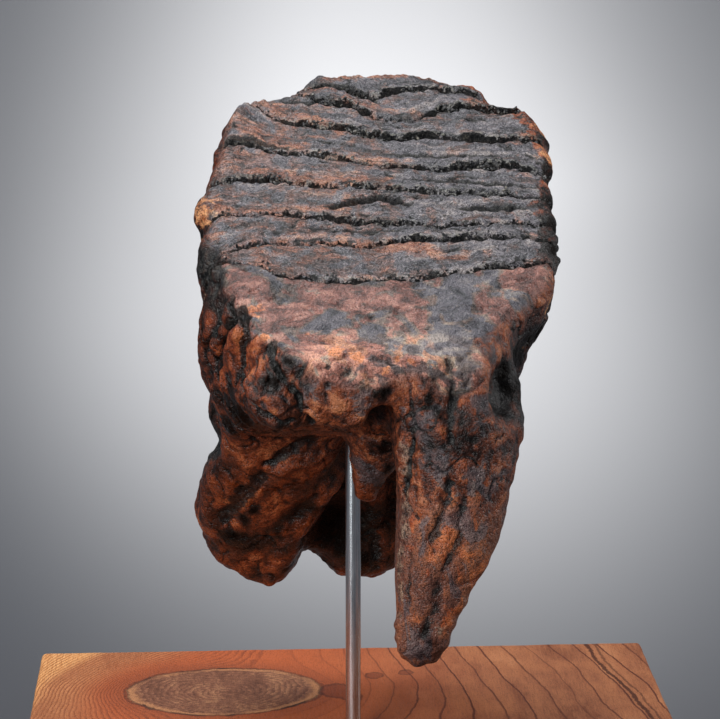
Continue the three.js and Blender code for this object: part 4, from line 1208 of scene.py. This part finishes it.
def wood_masks(mesh):
    """The ring count, how far out of the knot a point is, the sapwood, the double line and the dots."""
    points = vertex_array(mesh)
    y = points[:, 1]
    level_x = points[:, 0] + RING_DIP * (points[:, 2] - DRAWN_HEIGHT)
    x = level_x + 1.6 * lumps(points, 30, 53) + 0.7 * lumps(points, 13, 54)
    u = (x - KNOT["middle"][0]) / KNOT["half_sizes"][0]
    v = (y - KNOT["middle"][1]) / KNOT["half_sizes"][1]
    out = np.hypot(u, v)
    flow = (u - v * np.interp(x, RING_LEAN["x"], RING_LEAN["lean"])) * (1 - 1 / np.maximum(out, 1) ** 2)
    ring = np.where(flow < 0, RINGS["left"], RINGS["right"]) * flow
    line = np.array(sorted((y, x) for x, y in VEIN))
    return {
        "ring": ring,
        "knot": out,
        "sapwood": ramp(ring, *SAPWOOD),
        "vein": level_x - on_curve(line, y) + 0.6 * lumps(points, 9, 55),
        "dot": nearest_patch(points, SMALL_KNOTS),
    }


def wood_patterns(n):
    """The noises and masks that the parts of the wood's colour share."""
    w = SimpleNamespace(place=n.place())
    w.fibre = n.noise(n.stretch(w.place, (1, 0.06, 1)), 0.5, 4, 0.7)
    w.figure = n.noise(n.stretch(w.place, (1, 0.35, 1)), 9, 4, 0.6)
    w.stain = n.noise(w.place, 22, 4, 0.6)
    w.fine = n.noise(w.place, 1.4, 3, 0.65)
    w.ring = n.mask("ring")
    w.wide = n.step(w.ring, -0.5, 0.5)
    wobble = n.sum((w.figure, 0.45), (n.noise(w.place, 5, 2), 0.35), (w.fine, 0.2), -0.5)
    w.turn = n.math("MULTIPLY_ADD", wobble, n.step(w.wide, 0, 1, 2.4, 0.3), w.ring)
    w.in_ring = n.math("FRACT", w.turn)
    w.late = n.step(w.in_ring, 0.35, 0.97)
    return w


def plain_wood(n, w):
    """The wood away from the knot: rings that end in a dark line, sapwood and the thick double line."""
    tone = n.sum((w.figure, 0.6), (w.stain, 0.4))
    right = n.scale(tone, (0.36, 112, 60, 38), (0.46, 140, 84, 56), (0.55, 158, 98, 64), (0.68, 178, 118, 80))
    left = n.scale(tone, (0.38, 150, 88, 54), (0.62, 186, 120, 76))
    wood = n.mix(w.wide, left, right)
    wood = n.mix(n.step(w.fibre, 0.35, 0.7, 0, 0.3), wood, paint(190, 128, 88))
    wood = n.mix(n.times(n.step(w.ring, -19, -5), n.step(w.ring, 10, 0)), wood, paint(168, 84, 46))
    sap = n.mix(n.step(w.fibre, 0.3, 0.7), paint(196, 132, 78), paint(226, 166, 108))
    wood = n.mix(n.mask("sapwood"), wood, sap)
    late_share = n.times(n.step(w.ring, -0.5, 0.5, 0.75, 0.12), n.step(w.figure, 0.35, 0.6, 0.4, 1))
    wood = n.mix(n.times(w.late, late_share), wood, paint(112, 52, 30))
    line = n.times(n.step(w.in_ring, 0.895, 0.945), n.step(w.in_ring, 1, 0.985))
    which = n.noise(n.vector(n.math("FLOOR", w.turn)), 700, 1)
    strong = n.times(n.step(which, 0.42, 0.55, 0.35, 1), n.step(w.ring, 1.5, 6.5, 0.25, 1))
    wood = n.mix(n.times(line, strong, w.wide, 0.9), wood, paint(84, 38, 26))
    gap = n.sum((n.mask("vein"), 1), (w.fine, 1.6), -0.8)
    second = n.times(n.step(n.far_from(gap, 2.2), 0.5, 0.2), 0.7)
    double = n.math("MAXIMUM", n.step(n.math("ABSOLUTE", gap), 0.8, 0.4), second)
    return n.mix(n.times(double, 0.85), wood, paint(62, 26, 17))


def add_knot(n, w, wood):
    """The large knot with its rings, its ring of bark and the darker wood round it."""
    edge = n.sum((n.mask("knot"), 1), (w.fine, 0.07), (n.noise(w.place, 7, 3), 0.16), -0.115)
    in_knot = n.math("FRACT", n.sum((edge, KNOT["rings"]), (w.stain, 4)))
    heart = n.scale(n.sum((w.fine, 0.5), (w.figure, 0.5)), (0.35, 92, 56, 40), (0.5, 130, 84, 62),
                    (0.66, 168, 118, 84))
    heart = n.mix(n.times(n.step(in_knot, 0.3, 0.95), 0.6), heart, paint(84, 48, 34))
    pale = n.times(n.step(edge, 0.87, 0.93), n.step(w.stain, 0.36, 0.52, 0.1, 0.75))
    heart = n.mix(pale, heart, paint(178, 122, 82))
    colour = n.mix(n.step(edge, 1, 0.985), wood, heart)
    bark = n.times(n.step(edge, 0.96, 0.98), n.step(edge, 1.04, 1.02))
    colour = n.mix(n.times(bark, n.step(w.figure, 0.35, 0.55, 0.95, 0.5)), colour, paint(34, 20, 16))
    halo = n.times(n.step(edge, 0.99, 1), n.step(edge, 1.5, 1))
    return n.mix(n.times(halo, 0.4), colour, paint(110, 56, 36))


def wood_material():
    material, tree, shader = new_material("block_wood")
    n = Nodes(tree)
    w = wood_patterns(n)
    colour = add_knot(n, w, plain_wood(n, w))
    dot = n.sum((n.mask("dot"), 1), (w.fine, 0.5), -0.25)
    colour = n.mix(n.step(dot, -0.05, 0.1, 0, 0.55), colour, paint(104, 48, 32))
    colour = n.mix(n.step(n.math("ABSOLUTE", dot), 0.16, 0.04, 0, 0.6), colour, paint(66, 28, 20))
    shade, height = specks(n, n.stretch(w.place, (1, 0.25, 1)), 1.3)
    n.link(n.mix(0.3, colour, n.grey(shade), "MULTIPLY"), shader.inputs["Base Color"])
    n.link(n.step(w.fibre, 0.3, 0.7, 0.42, 0.6), shader.inputs["Roughness"])
    shader.inputs["Specular IOR Level"].default_value = 0.25
    n.emboss(shader, n.sum((w.fibre, 1), (w.late, 0.4), (height, 0.5)), 0.12)
    return material


block = bpy.data.objects.new("wood_block", block_mesh())
bpy.context.scene.collection.objects.link(block)
wear_edges(block.data)
cut_socket(block)
keep_masks(block.data, wood_masks(block.data))
block.data.materials.append(wood_material())
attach(block, "root")
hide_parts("block")

# ---- Floor ----
# A pale sheet of matt paper. It lies flat under the stand, runs back and curves up into the backdrop.

FLOOR = {"half_width": 2.4, "front": -2.2, "bend": 1.1, "bend_radius": 0.9, "bend_steps": 24, "top": 2.4}


def backdrop():
    """The sheet as a strip of faces, flat, then bent upwards, then upright."""
    profile = [(FLOOR["front"], 0.0), (FLOOR["bend"], 0.0)]
    turn = FLOOR["bend_radius"]
    for step in range(1, FLOOR["bend_steps"] + 1):
        angle = step / FLOOR["bend_steps"] * math.pi / 2
        profile.append((FLOOR["bend"] + turn * math.sin(angle), turn * (1 - math.cos(angle))))
    profile.append((FLOOR["bend"] + turn, FLOOR["top"]))
    sheet = bmesh.new()
    rows = [[sheet.verts.new((side * FLOOR["half_width"], y, z)) for side in (-1, 1)] for y, z in profile]
    for near, far in zip(rows, rows[1:]):
        sheet.faces.new((near[0], near[1], far[1], far[0]))
    mesh = bpy.data.meshes.new("floor")
    sheet.to_mesh(mesh)
    sheet.free()
    mesh.polygons.foreach_set("use_smooth", [True] * len(mesh.polygons))
    piece = bpy.data.objects.new("floor", mesh)
    bpy.context.scene.collection.objects.link(piece)
    return piece


floor = backdrop()
floor_material, floor_tree, floor_shader = new_material("floor_paper")
floor_shader.inputs["Base Color"].default_value = (0.6, 0.6, 0.61, 1)
floor_shader.inputs["Roughness"].default_value = 0.9
floor.data.materials.append(floor_material)
floor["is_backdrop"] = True

# ---- Lights ----
# Three soft boxes light the object, and a low strip draws a bright line down the left of the rod. Two
# narrow spots hang over the floor behind the stand: they leave a bright pool that dies away all round.

TOOTH_MIDDLE = (0.005, 0, 0.14)
ROD_MIDDLE = (0, 0, 0.09)
SPOT_WIDTH = 0.261  # a spot's beam is squeezed sideways to this
# Name, place, target, energy, width, height.
SOFT_BOXES = [
    ("softbox_above", (-0.12, 0.22, 0.8), TOOTH_MIDDLE, 5, 0.5, 0.4),
    ("softbox_front_left", (-0.55, -0.75, 0.5), TOOTH_MIDDLE, 10, 0.5, 0.6),
    ("strip_right", (0.6, 0.1, 0.35), TOOTH_MIDDLE, 2, 0.2, 0.6),
    ("strip_rod", (-0.2, -0.26, 0.07), ROD_MIDDLE, 0.12, 0.06, 0.16),
]
# Name, place, target, energy, half angle in degrees.
SPOTS = [
    ("spot_near", (0.034, 0.518, 0.774), (0.034, 0.747, 0), 27, 52.7),
    ("spot_far", (0.101, 1.114, 0.566), (0.101, 1.335, 0), 13.5, 80),
]
ALL_PIECES = [tooth, grains, rod, block]
LIT_BY = {
    "softbox_above": ALL_PIECES, "softbox_front_left": ALL_PIECES, "strip_right": [tooth, grains, block],
    "strip_rod": [rod], "spot_near": [floor], "spot_far": [floor],
}  # strip_right leaves out the rod, which would mirror it as a second line


def light(name, kind, place, target, energy, **settings):
    """A lamp turned towards its target, which lights the pieces listed for it and no others."""
    lamp = bpy.data.lights.new(name, kind)
    lamp.energy = energy
    for key, value in settings.items():
        setattr(lamp, key, value)
    holder = bpy.data.objects.new(name, lamp)
    holder.location = place
    holder.rotation_mode = "QUATERNION"
    holder.rotation_quaternion = (Vector(target) - Vector(place)).to_track_quat("-Z", "Y")
    bpy.context.scene.collection.objects.link(holder)
    receivers = bpy.data.collections.new(name + "_on")
    for piece in LIT_BY[name]:
        receivers.objects.link(piece)
    holder.light_linking.receiver_collection = receivers
    return holder


for name, place, target, energy, width, height in SOFT_BOXES:
    light(name, "AREA", place, target, energy, shape="RECTANGLE", size=width, size_y=height)
for name, place, target, energy, half_angle in SPOTS:
    lamp = light(name, "SPOT", place, target, energy, spot_size=math.radians(2 * half_angle), spot_blend=1,
                 shadow_soft_size=0.03)
    lamp.scale = (SPOT_WIDTH, 1, 1)

# A weak bluish light from all round fills the shadows.
world = bpy.data.worlds.new("studio")
bpy.context.scene.world = world
world.use_nodes = True
world.node_tree.nodes["Background"].inputs["Color"].default_value = (0.9, 0.96, 1.08, 1)
world.node_tree.nodes["Background"].inputs["Strength"].default_value = 0.2

plain = lambda box: [list(corner) for corner in box]
{"solids": plain(solid_box), "visual": plain(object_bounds())}
